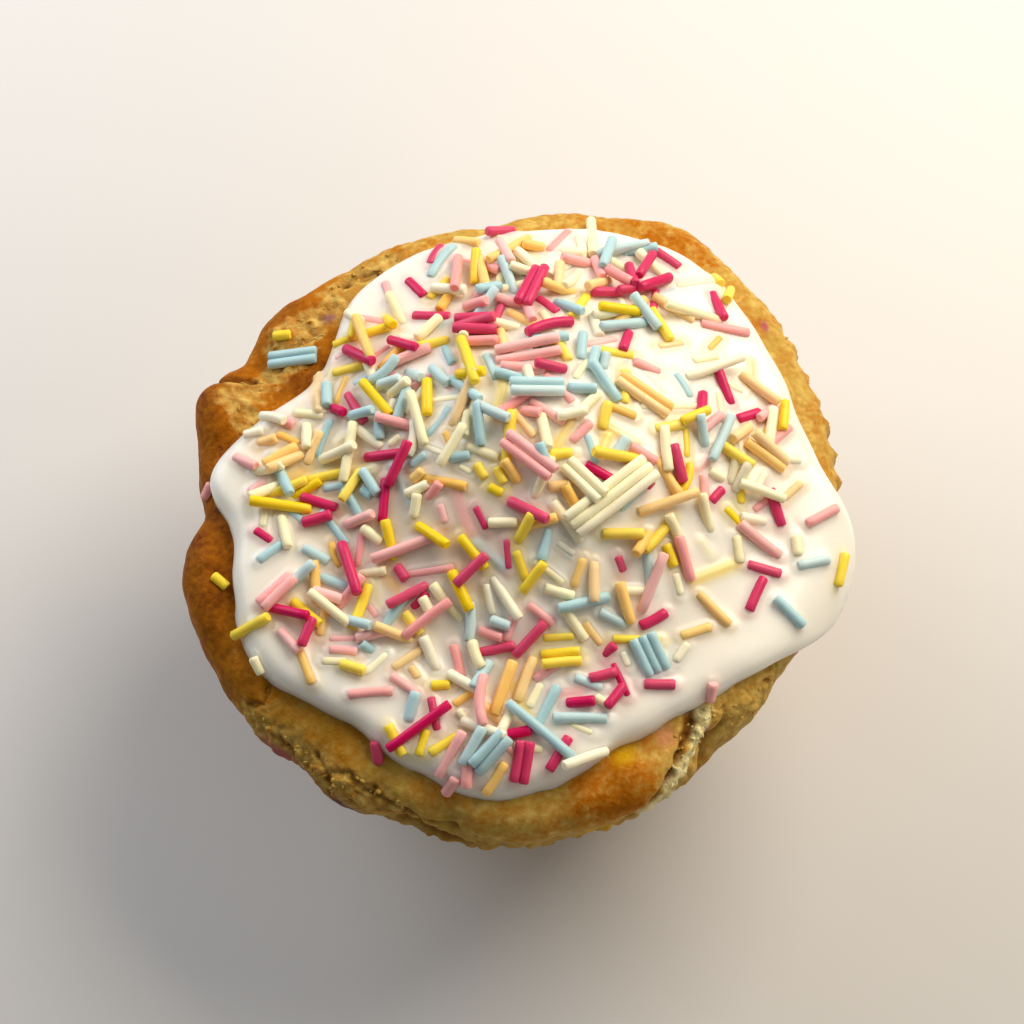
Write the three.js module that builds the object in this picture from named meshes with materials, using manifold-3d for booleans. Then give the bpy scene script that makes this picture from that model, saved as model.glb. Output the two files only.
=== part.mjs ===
// A small birthday cake: one muffin-sized sponge, baked with coloured strands in its batter, with a craggy
// golden crown over a pleated drum, a poured cap of white icing, and sugar strands strewn over the icing.
// Millimetres, +Z up. The origin is the middle of the flat base, +X is the right side and -Y the front.
import * as THREE from 'three';
import { mergeVertices } from 'three/addons/utils/BufferGeometryUtils.js';
import Module from 'manifold-3d';

const TAU = 2 * Math.PI;

// ---- Driving dimensions ---------------------------------------------------------------------------------

// The drum: the lower part, shaped by a pleated paper case.
const BASE_RADIUS = 28;
const DRUM_TOP_RADIUS = 35.5;
const DRUM_HEIGHT = 29;
const PLEATS = 68;
const PLEAT_DEPTH = 0.8;

// The crown: the part that rose over the case. Its widest radius is even, but for swells, notches and a flat
// stretch. Each has its angle, anticlockwise from +X, its spread in degrees and its rise in millimetres.
const CROWN_RADIUS = 39;
const CROWN_SWELLS = [
  { name: 'back right swell', angle: 57, spread: 27, rise: 4 },
  { name: 'back left bump', angle: 140, spread: 8, rise: 1 },
  { name: 'left corner', angle: 161, spread: 7, rise: 2 },
  { name: 'left notch', angle: 181, spread: 6, rise: -0.9 },
  { name: 'left lobe', angle: 201, spread: 16, rise: 1.1 },
  { name: 'front left swell', angle: 231, spread: 22, rise: 1.9 },
  { name: 'front fold', angle: 269, spread: 16, rise: 1.4 },
  { name: 'front right flat', angle: 322, spread: 22, rise: -2.4 },
];
const SHOULDER_WIDTH = 5; // from the lip's flat top out to the widest radius
const SHOULDER_RISE = 5.5; // from the widest radius up to the lip
const SHOULDER_DROP = 6; // from the widest radius down to the drum
const SHOULDER_POWER = 2.6; // above 2 is squarer than an ellipse
const SHOULDER_QUARTER = 8.2; // length along the surface of each quarter of the shoulder
const WIDEST_HEIGHT = 34.5;
const LIP_HEIGHT = WIDEST_HEIGHT + SHOULDER_RISE;

// The dome in the middle of the crown, which stands a little behind and to the right of the centre.
const DOME = { x: 4, y: 5, radius: 31, height: 8.5 };
const SKIRT_RISE = 1.5; // from the lip to the foot of the dome

// The icing: the plan radius of its edge, with tongues where it ran out and bays where it stopped short.
const ICING_RADIUS = 35;
const ICING_TONGUES = [
  { name: 'tongue at the back right', angle: 58, spread: 28, rise: 3.3 },
  { name: 'bay at the back left', angle: 147, spread: 17, rise: -6.6 },
  { name: 'left lobe', angle: 175, spread: 8, rise: 1.7 },
  { name: 'notch below the left lobe', angle: 190, spread: 6, rise: -1.3 },
  { name: 'lower left lobe', angle: 214, spread: 9, rise: 1.8 },
  { name: 'bay at the front left', angle: 235, spread: 8, rise: -1.3 },
  { name: 'front lobe', angle: 265, spread: 11, rise: 1.8 },
  { name: 'dip beside the front lobe', angle: 290, spread: 7, rise: -1 },
  { name: 'bay over the front fold', angle: 303, spread: 17, rise: -2.4 },
  { name: 'tongue at the right', angle: 348, spread: 17, rise: 2.7 },
];
const OVERFLOW = { angle: 345, spread: 13, drop: 5 }; // where the icing ran over the shoulder
const ICING_INSET = 0.2; // at least so far inside the crown's widest radius, apart from the overflow
const ICING_ON_DOME = 1.3;
const ICING_AT_EDGE = 2.3;
const ICING_EDGE_ROUND = 2.4;
const GAP = 0.3; // between the icing and the sponge that carries it

// Bumps and dents in the crown: angle in degrees, distance down the surface from the lip, size and height.
const CRAGS = [
  { name: 'left corner lobe', angle: 161, along: 3, spread: 5, height: 1.2 },
  { name: 'valley behind it', angle: 150, along: 2, spread: 3, height: -1.8 },
  { name: 'round left lobe', angle: 196, along: 6, spread: 6, height: 1.0 },
  { name: 'left notch', angle: 182, along: 7, spread: 2.5, height: -1.2 },
  { name: 'undercut at front left', angle: 232, along: 11, spread: 3.5, height: -1.8 },
  { name: 'front left lobe', angle: 241, along: 5, spread: 4, height: 0.8 },
  { name: 'front step', angle: 253, along: 8, spread: 2.2, height: -1.2 },
  { name: 'front pit', angle: 259, along: 5, spread: 1.8, height: -1.3 },
  { name: 'front fold', angle: 291, along: 4, spread: 5.5, height: 1.3 },
  { name: 'torn crack', angle: 307, along: 6, spread: 2.4, height: -1.8 },
  { name: 'right front lobe', angle: 318, along: 6, spread: 4, height: 0.8 },
  { name: 'back notch', angle: 95, along: 5, spread: 2.2, height: -1.0 },
  { name: 'back right corner', angle: 62, along: 5, spread: 4, height: 0.8 },
];

// Sugar strands: short pressed sticks, half sunk in the icing. Those that stand out are placed by eye, each as
// [x, y, turn in degrees, length, how many lie side by side if not one].
const STRAND_RADIUS = 0.62;
const STRAND_SIDES = 6;
const STRAND_LIFT = 0.15; // from the icing's surface up to a strand's axis
const BUNDLE_STEP = 1.05; // between the axes of strands that lie side by side
const NOTED_STRANDS = {
  magenta: [
    [2, 23.5, 70, 6.5, 2], [4, 17.5, 25, 6], [4, 11.5, 0, 3.5], [15.5, 28, 65, 5], [16.5, 25.5, 40, 5.5],
    [30, -2.5, 110, 4.5], [28.5, -10, 165, 4], [27.5, -13, 65, 4.5], [9.5, -1, 155, 4], [1.5, -5.5, 155, 5],
    [-5, -11.5, 40, 4.5], [1.5, -19, 45, 5], [-23, -2, 160, 4.5], [-11, -29, 35, 8.5], [0.5, -33, 80, 4.5, 2],
    [-4.5, 18.5, 0, 5, 3], [15.5, -16.5, 30, 3.5], [16, -24, 0, 3.5],
  ],
  yellow: [
    [-27.5, -2.5, 175, 7], [-16, 10, 125, 5.5], [-5, 12.5, 105, 7], [37.5, -9, 67, 4], [31.5, 9.2, 80, 4.2],
    [12, -7.5, 5, 4.5], [11, 1, 0, 5.5], [17, 19.5, 115, 5], [2, -12.5, 50, 4], [5, -21, 5, 4.5, 2],
    [-30.5, -16.9, 18, 4.6], [25.9, 26, 73, 3],
  ],
  blue: [
    [-9, 30, 60, 5.5], [2.5, 8.5, 5, 6, 2], [11, 29.5, 75, 5.5], [15, 20.5, 130, 5], [10, 10, 125, 5.5],
    [23.5, 5, 65, 7], [31.2, -15, 138, 3.9], [15, -20.5, 115, 4.5, 3], [-3, -32, 45, 5, 2], [7, -28, 0, 6],
    [2.5, -29.5, 140, 9.5],
  ],
  pink: [
    [25, 20.5, 175, 6], [1.5, 14, 5, 7.5, 2], [1.5, 0.5, 140, 7, 2], [28, -6.5, 145, 6], [35.6, -3.2, 34, 4.2],
    [19, -9.5, 110, 5], [-10, -16.5, 35, 6.5], [-27.5, -13, 45, 5, 2], [-16.5, -25, 5, 5], [-7, 27, 90, 6.5],
  ],
  apricot: [
    [14.5, 9, 150, 7, 2], [17, -3.5, 25, 7], [29, 4, 150, 5.5, 2], [22.5, -15, 135, 5], [-1.5, -24.5, 70, 6.5],
    [-27.5, 3.5, 35, 4.5, 2],
  ],
  cream: [
    [10.5, -3.5, 40, 11.5, 3], [7.5, -2, 135, 5.5, 2], [-7, 2.5, 55, 5.5], [23, 14, 25, 7], [-11, 6.5, 100, 6.5],
    [7.5, -32.5, 25, 5.5], [28, -1, 165, 5.5],
  ],
};

// The rest are strewn by a rule: each patch has a middle, a spread and a number of strands.
const PATCHES = [
  { name: 'back left', x: -12, y: 13.5, spread: 10, count: 66 },
  { name: 'back', x: -2, y: 25, spread: 8, count: 34 },
  { name: 'back right', x: 13, y: 25, spread: 9, count: 30 },
  { name: 'middle', x: 4, y: 8, spread: 9, count: 30 },
  { name: 'right', x: 24, y: 6, spread: 8, count: 34 },
  { name: 'left', x: -22, y: 0, spread: 8, count: 28 },
  { name: 'front left', x: -20, y: -14, spread: 8, count: 26 },
  { name: 'front middle', x: 5, y: -18, spread: 9, count: 26 },
  { name: 'front', x: -3, y: -28, spread: 9, count: 26 },
  { name: 'everywhere', x: 1, y: 0, spread: 27, count: 34 },
];
const SCATTER_SEED = 2711;
const SCATTER_TRIES = 5; // of so many places drawn, a strand takes the one with most room
const ICING_MARGIN = 1.5; // bare icing kept between a strand's middle and the icing's edge
const SOLID_STRANDS = 100; // the longest ones, which are solids here
const STRAND_ROOM = 1.5; // kept between the axes of two strands that are not side by side

// Strands that lie on the bare crust beside the icing.
const CRUST_STRANDS = [
  { name: 'blue pair', strand: [-27.4, 18.6, 0, 6, 2] },
  { name: 'yellow behind the blue pair', strand: [-28.8, 21.6, 0, 2.2] },
];

// ---- Shape of the crown ---------------------------------------------------------------------------------

const radians = THREE.MathUtils.degToRad;
const smoothstep = THREE.MathUtils.smoothstep;
const lerp = THREE.MathUtils.lerp;

// The angle from that many degrees to theta, the short way round.
const turnedFrom = (degrees, theta) => ((theta - radians(degrees) + 1.5 * TAU) % TAU) - TAU / 2;

// The radius at theta of a round with swells on it.
function swollenRadius(radius, swells, theta) {
  const rises = swells.map(({ angle, spread, rise }) => {
    return rise * Math.exp(-((turnedFrom(angle, theta) / radians(spread)) ** 2));
  });
  return rises.reduce((sum, rise) => sum + rise, radius);
}

const crownRadius = (theta) => swollenRadius(CROWN_RADIUS, CROWN_SWELLS, theta);
const icingRadius = (theta) => {
  return Math.min(swollenRadius(ICING_RADIUS, ICING_TONGUES, theta), crownRadius(theta) - ICING_INSET);
};
const lipRadius = (theta) => crownRadius(theta) - SHOULDER_WIDTH;

function topHeight(theta, r) {
  const offset = Math.hypot(r * Math.cos(theta) - DOME.x, r * Math.sin(theta) - DOME.y);
  const share = Math.min(offset / DOME.radius, 1);
  const skirt = SKIRT_RISE * (1 - (r / lipRadius(theta)) ** 2);
  return LIP_HEIGHT + skirt + DOME.height * (1 - share ** 2) ** 2;
}

// A point of the smooth crown. `along` runs outwards from the axis over the top, then down round the shoulder.
function smoothPoint(theta, along) {
  const lip = lipRadius(theta);
  let r = along;
  let z = topHeight(theta, Math.min(along, lip));
  if (along > lip) {
    const phi = (TAU / 4) * (1 - (along - lip) / SHOULDER_QUARTER);
    const power = 2 / SHOULDER_POWER;
    r = lip + SHOULDER_WIDTH * Math.max(Math.cos(phi), 0) ** power;
    const reach = phi > 0 ? SHOULDER_RISE : SHOULDER_DROP;
    z = WIDEST_HEIGHT + Math.sign(phi) * reach * Math.abs(Math.sin(phi)) ** power;
  }
  return new THREE.Vector3(r * Math.cos(theta), r * Math.sin(theta), z);
}

function smoothNormal(theta, along) {
  const step = 0.2;
  const safe = Math.max(along, 2 * step);
  const down = smoothPoint(theta, safe + step).sub(smoothPoint(theta, safe - step));
  const turn = smoothPoint(theta + step / safe, safe).sub(smoothPoint(theta - step / safe, safe));
  return down.cross(turn).normalize();
}

// How far the icing's edge is from the axis, along the surface.
function icingReach(theta) {
  const lip = lipRadius(theta);
  const radius = icingRadius(theta);
  const turned = turnedFrom(OVERFLOW.angle, theta);
  const overflow = OVERFLOW.drop * Math.exp(-((turned / radians(OVERFLOW.spread)) ** 2));
  if (radius <= lip) return radius + overflow;
  const phi = Math.acos(((radius - lip) / SHOULDER_WIDTH) ** (SHOULDER_POWER / 2));
  return lip + SHOULDER_QUARTER * (1 - phi / (TAU / 4)) + overflow;
}

// Crags swell or dent the crust, and fade out under the icing's edge so that the icing lies on smooth crumb.
function cragHeight(theta, along) {
  const bare = smoothstep(along - icingReach(theta), 0.5, 3);
  const below = along - lipRadius(theta);
  let height = 0;
  for (const crag of CRAGS) {
    const distance = Math.hypot(turnedFrom(crag.angle, theta) * crownRadius(theta), below - crag.along) / crag.spread;
    height += crag.height * Math.exp(-(distance ** 2));
  }
  return bare * height;
}

function crownPoint(theta, along, lift = 0) {
  return smoothPoint(theta, along).addScaledVector(smoothNormal(theta, along), cragHeight(theta, along) + lift);
}

// ---- Solids ---------------------------------------------------------------------------------------------

const wasm = await Module();
wasm.setup();

// A closed surface from rings of equal length, outermost faces first; its two ends are drawn in to a point.
function ringGeometry(topPoint, rings, bottomPoint) {
  const count = rings[0].length;
  const points = [topPoint, ...rings.flat(), bottomPoint];
  const at = (ring, k) => 1 + ring * count + (k % count);
  const index = [];
  for (let k = 0; k < count; k++) {
    index.push(0, at(0, k), at(0, k + 1));
    for (let ring = 0; ring + 1 < rings.length; ring++) {
      index.push(at(ring, k), at(ring + 1, k), at(ring + 1, k + 1));
      index.push(at(ring, k), at(ring + 1, k + 1), at(ring, k + 1));
    }
    index.push(points.length - 1, at(rings.length - 1, k + 1), at(rings.length - 1, k));
  }
  return new THREE.BufferGeometry().setFromPoints(points).setIndex(index);
}

function ring(count, pointAt) {
  return Array.from({ length: count }, (_, k) => pointAt((k / count) * TAU));
}

function toSolid(geometry) {
  const bare = new THREE.BufferGeometry().setAttribute('position', geometry.getAttribute('position'));
  if (geometry.index) bare.setIndex(geometry.index);
  const merged = mergeVertices(bare, 1e-4);
  return new wasm.Manifold(new wasm.Mesh({
    numProp: 3,
    vertProperties: merged.attributes.position.array,
    triVerts: new Uint32Array(merged.index.array),
  }));
}

function toGeometry(solid) {
  const mesh = solid.getMesh();
  return new THREE.BufferGeometry()
    .setAttribute('position', new THREE.BufferAttribute(mesh.vertProperties, 3))
    .setIndex(new THREE.BufferAttribute(mesh.triVerts, 1));
}

// The crown, from its peak out over the lip and down round the shoulder to a flat floor inside the drum. Where
// `lift` is above 0, the crown swollen by that much, which cuts the underside of what lies on it.
function crownSolid(lift = 0) {
  const segments = 84;
  const shares = [0.22, 0.41, 0.58, 0.73, 0.87, 1];
  const steps = [1.2, 2.6, 4.2, 6, 8.2, 10.4, 12.8, 15.2];
  const rings = [
    ...shares.map((share) => ring(segments, (theta) => crownPoint(theta, share * lipRadius(theta), lift))),
    ...steps.map((step) => ring(segments, (theta) => crownPoint(theta, lipRadius(theta) + step, lift))),
  ];
  const floor = new THREE.Vector3(0, 0, WIDEST_HEIGHT - SHOULDER_DROP);
  return toSolid(ringGeometry(crownPoint(0, 0, lift), rings, floor));
}

// The drum: a tapered cup shape whose wall is folded into pleats that fade near the base.
function drumSolid() {
  const wall = (height, radius, depth) => ring(2 * PLEATS, (theta) => {
    const fold = Math.cos(PLEATS * theta) * depth / 2;
    return new THREE.Vector3((radius + fold) * Math.cos(theta), (radius + fold) * Math.sin(theta), height);
  });
  const rings = [
    wall(DRUM_HEIGHT + 2, DRUM_TOP_RADIUS, PLEAT_DEPTH),
    wall(DRUM_HEIGHT * 0.5, lerp(BASE_RADIUS, DRUM_TOP_RADIUS, 0.52), PLEAT_DEPTH),
    wall(1, BASE_RADIUS, PLEAT_DEPTH),
    wall(0, BASE_RADIUS - 1, PLEAT_DEPTH),
  ];
  const top = new THREE.Vector3(0, 0, DRUM_HEIGHT + 2);
  return toSolid(ringGeometry(top, rings, new THREE.Vector3()));
}

function icingThickness(theta, along) {
  const reach = icingReach(theta);
  const body = lerp(ICING_ON_DOME, ICING_AT_EDGE, smoothstep(along / reach, 0.45, 0.92));
  const inward = Math.min((reach - along) / ICING_EDGE_ROUND, 1);
  return body * Math.sqrt(Math.max(1 - (1 - inward) ** 2, 0));
}

function icingPoint(theta, along) {
  const lift = GAP + icingThickness(theta, along);
  return smoothPoint(theta, along).addScaledVector(smoothNormal(theta, along), lift);
}

// The icing's outside, thick and round at its edge, closed by a cone that lies inside the crown.
function icingSolid() {
  const segments = 60;
  const shares = [0.22, 0.42, 0.58, 0.71, 0.82];
  const edgeSteps = [3.4, 1.9, 0.9, 0.25, 0];
  const rings = [
    ...shares.map((share) => ring(segments, (theta) => icingPoint(theta, share * icingReach(theta)))),
    ...edgeSteps.map((step) => ring(segments, (theta) => icingPoint(theta, icingReach(theta) - step))),
    ring(segments, (theta) => crownPoint(theta, icingReach(theta), -ICING_AT_EDGE)),
  ];
  return toSolid(ringGeometry(icingPoint(0, 0), rings, new THREE.Vector3(0, 0, WIDEST_HEIGHT)));
}

// ---- Sugar strands --------------------------------------------------------------------------------------

// Park and Miller's generator, so that the strands are strewn alike each time.
function dice(seed) {
  let state = seed;
  return () => {
    state = (state * 16807) % 2147483647;
    return state / 2147483647;
  };
}

function isIced(x, y) {
  const theta = Math.atan2(y, x);
  return Math.hypot(x, y) < icingRadius(theta) - ICING_MARGIN;
}

// Side by side strands as [x, y, turn, length] each.
function spreadBundle([x, y, turn, length, number = 1]) {
  return Array.from({ length: number }, (_, k) => {
    const across = (k - (number - 1) / 2) * BUNDLE_STEP;
    return [x - across * Math.sin(radians(turn)), y + across * Math.cos(radians(turn)), turn, length];
  });
}

function strewnStrands(noted) {
  const draw = dice(SCATTER_SEED);
  const strewn = [];
  for (const patch of PATCHES) {
    for (let n = 0; n < patch.count; n++) {
      let best = { room: 0 };
      for (let t = 0; t < SCATTER_TRIES; t++) {
        const x = patch.x + patch.spread * (draw() + draw() + draw() - 1.5);
        const y = patch.y + patch.spread * (draw() + draw() + draw() - 1.5);
        const gaps = [...noted, ...strewn].map((strand) => Math.hypot(strand[0] - x, strand[1] - y));
        const room = isIced(x, y) ? Math.min(...gaps) : 0;
        if (room > best.room) best = { x, y, room };
      }
      const turn = 180 * draw();
      const length = 3.2 + 2.2 * draw() + (draw() > 0.9 ? 2 : 0);
      if (best.room > 0) strewn.push([best.x, best.y, turn, length]);
    }
  }
  return strewn;
}

// Points along a strand's axis in plan, from end to end.
function axisPoints([x, y, turn, length]) {
  return [-0.5, -0.25, 0, 0.25, 0.5].map((share) => new THREE.Vector2(
    x + share * length * Math.cos(radians(turn)),
    y + share * length * Math.sin(radians(turn)),
  ));
}

function areClear(one, other) {
  return axisPoints(one).every((p) => axisPoints(other).every((q) => p.distanceTo(q) > STRAND_ROOM));
}

// The strands that are solids: those placed by eye, then the longest of the others that cross none before them.
function solidStrands() {
  const noted = Object.values(NOTED_STRANDS).flat().flatMap(spreadBundle);
  const chosen = [...noted];
  for (const strand of strewnStrands(noted).sort((a, b) => b[3] - a[3])) {
    if (chosen.length >= SOLID_STRANDS) break;
    if (chosen.every((other) => areClear(strand, other))) chosen.push(strand);
  }
  return chosen;
}

// How far along the surface a radius seen from above is, from the axis.
function alongAt(theta, radius) {
  const lip = lipRadius(theta);
  const out = Math.min((radius - lip) / SHOULDER_WIDTH, 1);
  if (out <= 0) return radius;
  return lip + SHOULDER_QUARTER * (1 - Math.acos(out ** (SHOULDER_POWER / 2)) / (TAU / 4));
}

// The point of a raised surface above a place in plan. On the shoulder what is raised leans outwards, so the
// radius below it is found in a few steps.
function pointAbove({ x, y }, pointAt) {
  const theta = Math.atan2(y, x);
  let radius = Math.hypot(x, y);
  let point;
  for (let step = 0; step < 5; step++) {
    point = pointAt(theta, alongAt(theta, radius));
    radius += Math.hypot(x, y) - Math.hypot(point.x, point.y);
  }
  return point;
}

// A straight stick whose ends follow the surface that `pointAt` gives, and whose middle is half way up to it.
function strandSolid(strand, pointAt) {
  const [start, , middle, , end] = axisPoints(strand).map((place) => pointAbove(place, pointAt));
  const axis = end.clone().sub(start);
  const stick = new THREE.CylinderGeometry(STRAND_RADIUS, STRAND_RADIUS, axis.length(), STRAND_SIDES);
  stick.applyQuaternion(new THREE.Quaternion().setFromUnitVectors(new THREE.Vector3(0, 1, 0), axis.normalize()));
  const place = start.add(end).multiplyScalar(0.5).add(middle).multiplyScalar(0.5);
  return toSolid(stick.translate(place.x, place.y, place.z + STRAND_LIFT));
}

// ---- The cake -------------------------------------------------------------------------------------------

function namedMesh(name, solid, look) {
  const mesh = new THREE.Mesh(toGeometry(solid), new THREE.MeshStandardMaterial(look));
  mesh.name = name;
  return mesh;
}

const group = new THREE.Group();
// A solid with strands fused on. Only its largest body is kept, which fills what the strands seal between them.
function withStrands(body, strands, pointAt) {
  const whole = strands.reduce((sum, strand) => sum.add(strandSolid(strand, pointAt)), body);
  return whole.decompose().reduce((largest, piece) => (piece.volume() > largest.volume() ? piece : largest));
}

const crustStrands = CRUST_STRANDS.flatMap(({ strand }) => spreadBundle(strand));
const sponge = withStrands(crownSolid().add(drumSolid()), crustStrands, crownPoint);
const icing = withStrands(icingSolid(), solidStrands(), icingPoint).subtract(crownSolid(GAP));
group.add(namedMesh('sponge', sponge, { color: '#c98d3d', roughness: 0.8, metalness: 0 }));
group.add(namedMesh('icing', icing, { color: '#efece4', roughness: 0.3, metalness: 0 }));

export default group;
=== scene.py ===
# %% [markdown]
# # A small birthday cake
# A muffin-sized sponge with a craggy golden crown, white icing poured over it, and sugar strands strewn on
# the icing while it was wet. The imported model gives the true form in plain facets. This lesson makes the
# fine surfaces over it: crust and crumb, icing, strands and loose crumbs, each with its own finish.
#
# The first cell loads the imported model, which stays as it is.

# %% Load the imported frame
import math

import bpy
import numpy as np
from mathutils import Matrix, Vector, noise


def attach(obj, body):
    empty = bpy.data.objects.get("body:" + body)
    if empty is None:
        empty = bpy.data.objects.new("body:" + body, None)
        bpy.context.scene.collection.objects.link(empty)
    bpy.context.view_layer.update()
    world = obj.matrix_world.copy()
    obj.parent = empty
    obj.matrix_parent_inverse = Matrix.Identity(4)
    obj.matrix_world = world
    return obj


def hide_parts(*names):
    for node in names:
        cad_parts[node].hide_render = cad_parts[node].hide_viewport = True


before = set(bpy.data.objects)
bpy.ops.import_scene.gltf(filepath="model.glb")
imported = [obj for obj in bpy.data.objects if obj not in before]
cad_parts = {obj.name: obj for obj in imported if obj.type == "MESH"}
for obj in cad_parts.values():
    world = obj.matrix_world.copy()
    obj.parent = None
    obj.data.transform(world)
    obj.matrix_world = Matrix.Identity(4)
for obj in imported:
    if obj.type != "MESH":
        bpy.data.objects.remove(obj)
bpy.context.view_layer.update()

MM = 0.001
TAU = 2 * math.pi

# %% [markdown]
# ## The camera
# The photo looks down at 68 degrees. A long lens from about a quarter of a metre keeps the crown's round
# outline from spreading. The camera could be aimed with a constraint, but a plain rotation says the angle
# outright.

# %% Camera at the photo's angle
ELEVATION = math.radians(68)
LENS_MM = 70
CAMERA_DISTANCE = 237.7
AIM = Vector((-0.6, -1.0, 38.0))
NEAREST_SEEN = 10


def placed(name, data):
    """A new object in the scene, from a mesh, a light or a camera."""
    piece = bpy.data.objects.new(name, data)
    bpy.context.scene.collection.objects.link(piece)
    return piece


camera_data = bpy.data.cameras.new("camera")
camera_data.lens = LENS_MM
camera_data.clip_start = NEAREST_SEEN * MM
camera = placed("camera", camera_data)
away = Vector((0, -math.cos(ELEVATION), math.sin(ELEVATION)))
camera.location = (AIM + CAMERA_DISTANCE * away) * MM
camera.rotation_euler = (math.pi / 2 - ELEVATION, 0, 0)
bpy.context.scene.camera = camera
print("camera at", [round(v / MM) for v in camera.location], "mm")

# %% [markdown]
# ## Colours and nodes
# A colour is written as the sRGB hex that a picture shows, and the shader wants it linear, so one function
# turns it. A second one adds a shader or geometry node with its settings and links, which keeps each tree
# short.

# %% Helpers for every material
def linear(hex_code):
    """An sRGB colour such as '#d9a347' as linear red, green, blue and 1."""
    shares = [int(hex_code[k:k + 2], 16) / 255 for k in (1, 3, 5)]
    return [s / 12.92 if s <= 0.04045 else ((s + 0.055) / 1.055) ** 2.4 for s in shares] + [1.0]


def add(tree, kind, inputs=(), **settings):
    """A new node. Each input is a link where its value is a socket, and a plain value otherwise."""
    node = tree.nodes.new(kind)
    for name, value in settings.items():
        setattr(node, name, value)
    for key, value in dict(inputs).items():
        if isinstance(value, bpy.types.NodeSocket):
            tree.links.new(value, node.inputs[key])
        else:
            node.inputs[key].default_value = value
    return node


def new_material(name):
    """A material whose node tree is cleared, and that tree."""
    material = bpy.data.materials.new(name)
    material.use_nodes = True
    material.node_tree.nodes.clear()
    return material, material.node_tree


def mixed(tree, amount, first, second):
    """The socket of a colour that goes from first to second by amount."""
    return add(tree, "ShaderNodeMix", {0: amount, 6: first, 7: second}, data_type="RGBA").outputs[2]


def surfaced(tree, inputs):
    """Ends a material in one surface with these settings."""
    shader = add(tree, "ShaderNodeBsdfPrincipled", inputs)
    add(tree, "ShaderNodeOutputMaterial", {0: shader.outputs[0]})

# %% [markdown]
# ## Floor and light
# A plain pale floor carries the cake. The key light is a big soft panel, high at the right and a little
# behind, so the icing is brightest at the right and falls to grey on the dome's left flank, as in the
# photo. Two weaker panels, at the front right and at the left, and an even sky fill the rest.

# %% Floor, sky and three soft panels
FLOOR_SIDE = 3000
FLOOR_COLOUR = "#dedcd8"
PANEL_SIDE = 220
CROWN_MIDDLE = Vector((0, 0, 40))


def floor():
    half = FLOOR_SIDE / 2 * MM
    mesh = bpy.data.meshes.new("floor")
    corners = [(-half, -half, 0), (half, -half, 0), (half, half, 0), (-half, half, 0)]
    mesh.from_pydata(corners, [], [(0, 1, 2, 3)])
    # Matt painted board: no gloss, so that it only sends back an even light.
    material, tree = new_material("painted board")
    surfaced(tree, {"Base Color": linear(FLOOR_COLOUR), "Roughness": 0.9})
    mesh.materials.append(material)
    placed("floor", mesh)


def panel(name, place, watts, colour):
    """A square soft light at a place in millimetres, aimed at the crown."""
    light = bpy.data.lights.new(name, "AREA")
    light.size = PANEL_SIDE * MM
    light.energy = watts
    light.color = linear(colour)[:3]
    piece = placed(name, light)
    piece.location = Vector(place) * MM
    piece.rotation_euler = (Vector(place) - CROWN_MIDDLE).to_track_quat("Z", "Y").to_euler()


def sky(colour, strength):
    world = bpy.data.worlds.new("sky")
    world.use_nodes = True
    world.node_tree.nodes.clear()
    even = add(world.node_tree, "ShaderNodeBackground", {"Color": linear(colour), "Strength": strength})
    add(world.node_tree, "ShaderNodeOutputWorld", {0: even.outputs[0]})
    bpy.context.scene.world = world


floor()
panel("key panel", (150, 160, 240), 1.1, "#fff3e2")
panel("front fill panel", (240, -140, 200), 0.14, "#fff6ea")
panel("left fill panel", (-215, 165, 170), 0.56, "#f0f5ff")
sky("#f4f4f4", 0.17)
bpy.context.scene.view_settings.view_transform = "Standard"
print("floor, sky and three panels")

# %% [markdown]
# ## The shape of the cake
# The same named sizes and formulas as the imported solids, so that every fine surface lies on them: a pleated
# drum, a crown whose round has named swells and notches, and a dome. Here they take whole arrays at once.
#
# A place on the crown is an angle round the axis, anticlockwise from the right, and a distance `along` the
# surface from the axis out over the top and down round the shoulder.

# %% Driving sizes, in millimetres
BASE_RADIUS = 28
DRUM_TOP_RADIUS = 35.5
DRUM_HEIGHT = 29
PLEATS = 68
PLEAT_DEPTH = 0.8
CROWN_RADIUS = 39
# Name: angle in degrees, spread in degrees and rise.
CROWN_SWELLS = {
    "back right swell": (57, 27, 4),
    "back left bump": (140, 8, 1),
    "left corner": (161, 7, 2),
    "left notch": (181, 6, -0.9),
    "left lobe": (201, 16, 1.1),
    "front left swell": (231, 22, 1.9),
    "front fold": (269, 16, 1.4),
    "front right flat": (322, 22, -2.4),
}
SHOULDER_WIDTH = 5
SHOULDER_RISE = 5.5
SHOULDER_DROP = 6
SHOULDER_POWER = 2.6
SHOULDER_QUARTER = 8.2
WIDEST_HEIGHT = 34.5
LIP_HEIGHT = WIDEST_HEIGHT + SHOULDER_RISE
DOME_X, DOME_Y, DOME_RADIUS, DOME_HEIGHT = 4, 5, 31, 8.5
SKIRT_RISE = 1.5
ICING_RADIUS = 35
ICING_TONGUES = {
    "tongue at the back right": (58, 28, 3.3),
    "bay at the back left": (147, 17, -6.6),
    "left lobe": (175, 8, 1.7),
    "notch below the left lobe": (190, 6, -1.3),
    "lower left lobe": (214, 9, 1.8),
    "bay at the front left": (235, 8, -1.3),
    "front lobe": (265, 11, 1.8),
    "dip beside the front lobe": (290, 7, -1),
    "bay over the front fold": (303, 17, -2.4),
    "tongue at the right": (348, 17, 2.7),
}
ICING_INSET = 0.2
OVERFLOW_ANGLE, OVERFLOW_SPREAD, OVERFLOW_DROP = 345, 13, 5
ICING_ON_DOME = 1.3
ICING_AT_EDGE = 2.3
ICING_EDGE_ROUND = 2.4
GAP = 0.3

# %% The crown as formulas on arrays
def bell(away):
    """1 where a distance is 0, and nearly nothing beyond twice its unit."""
    return np.exp(-away ** 2)


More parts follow.
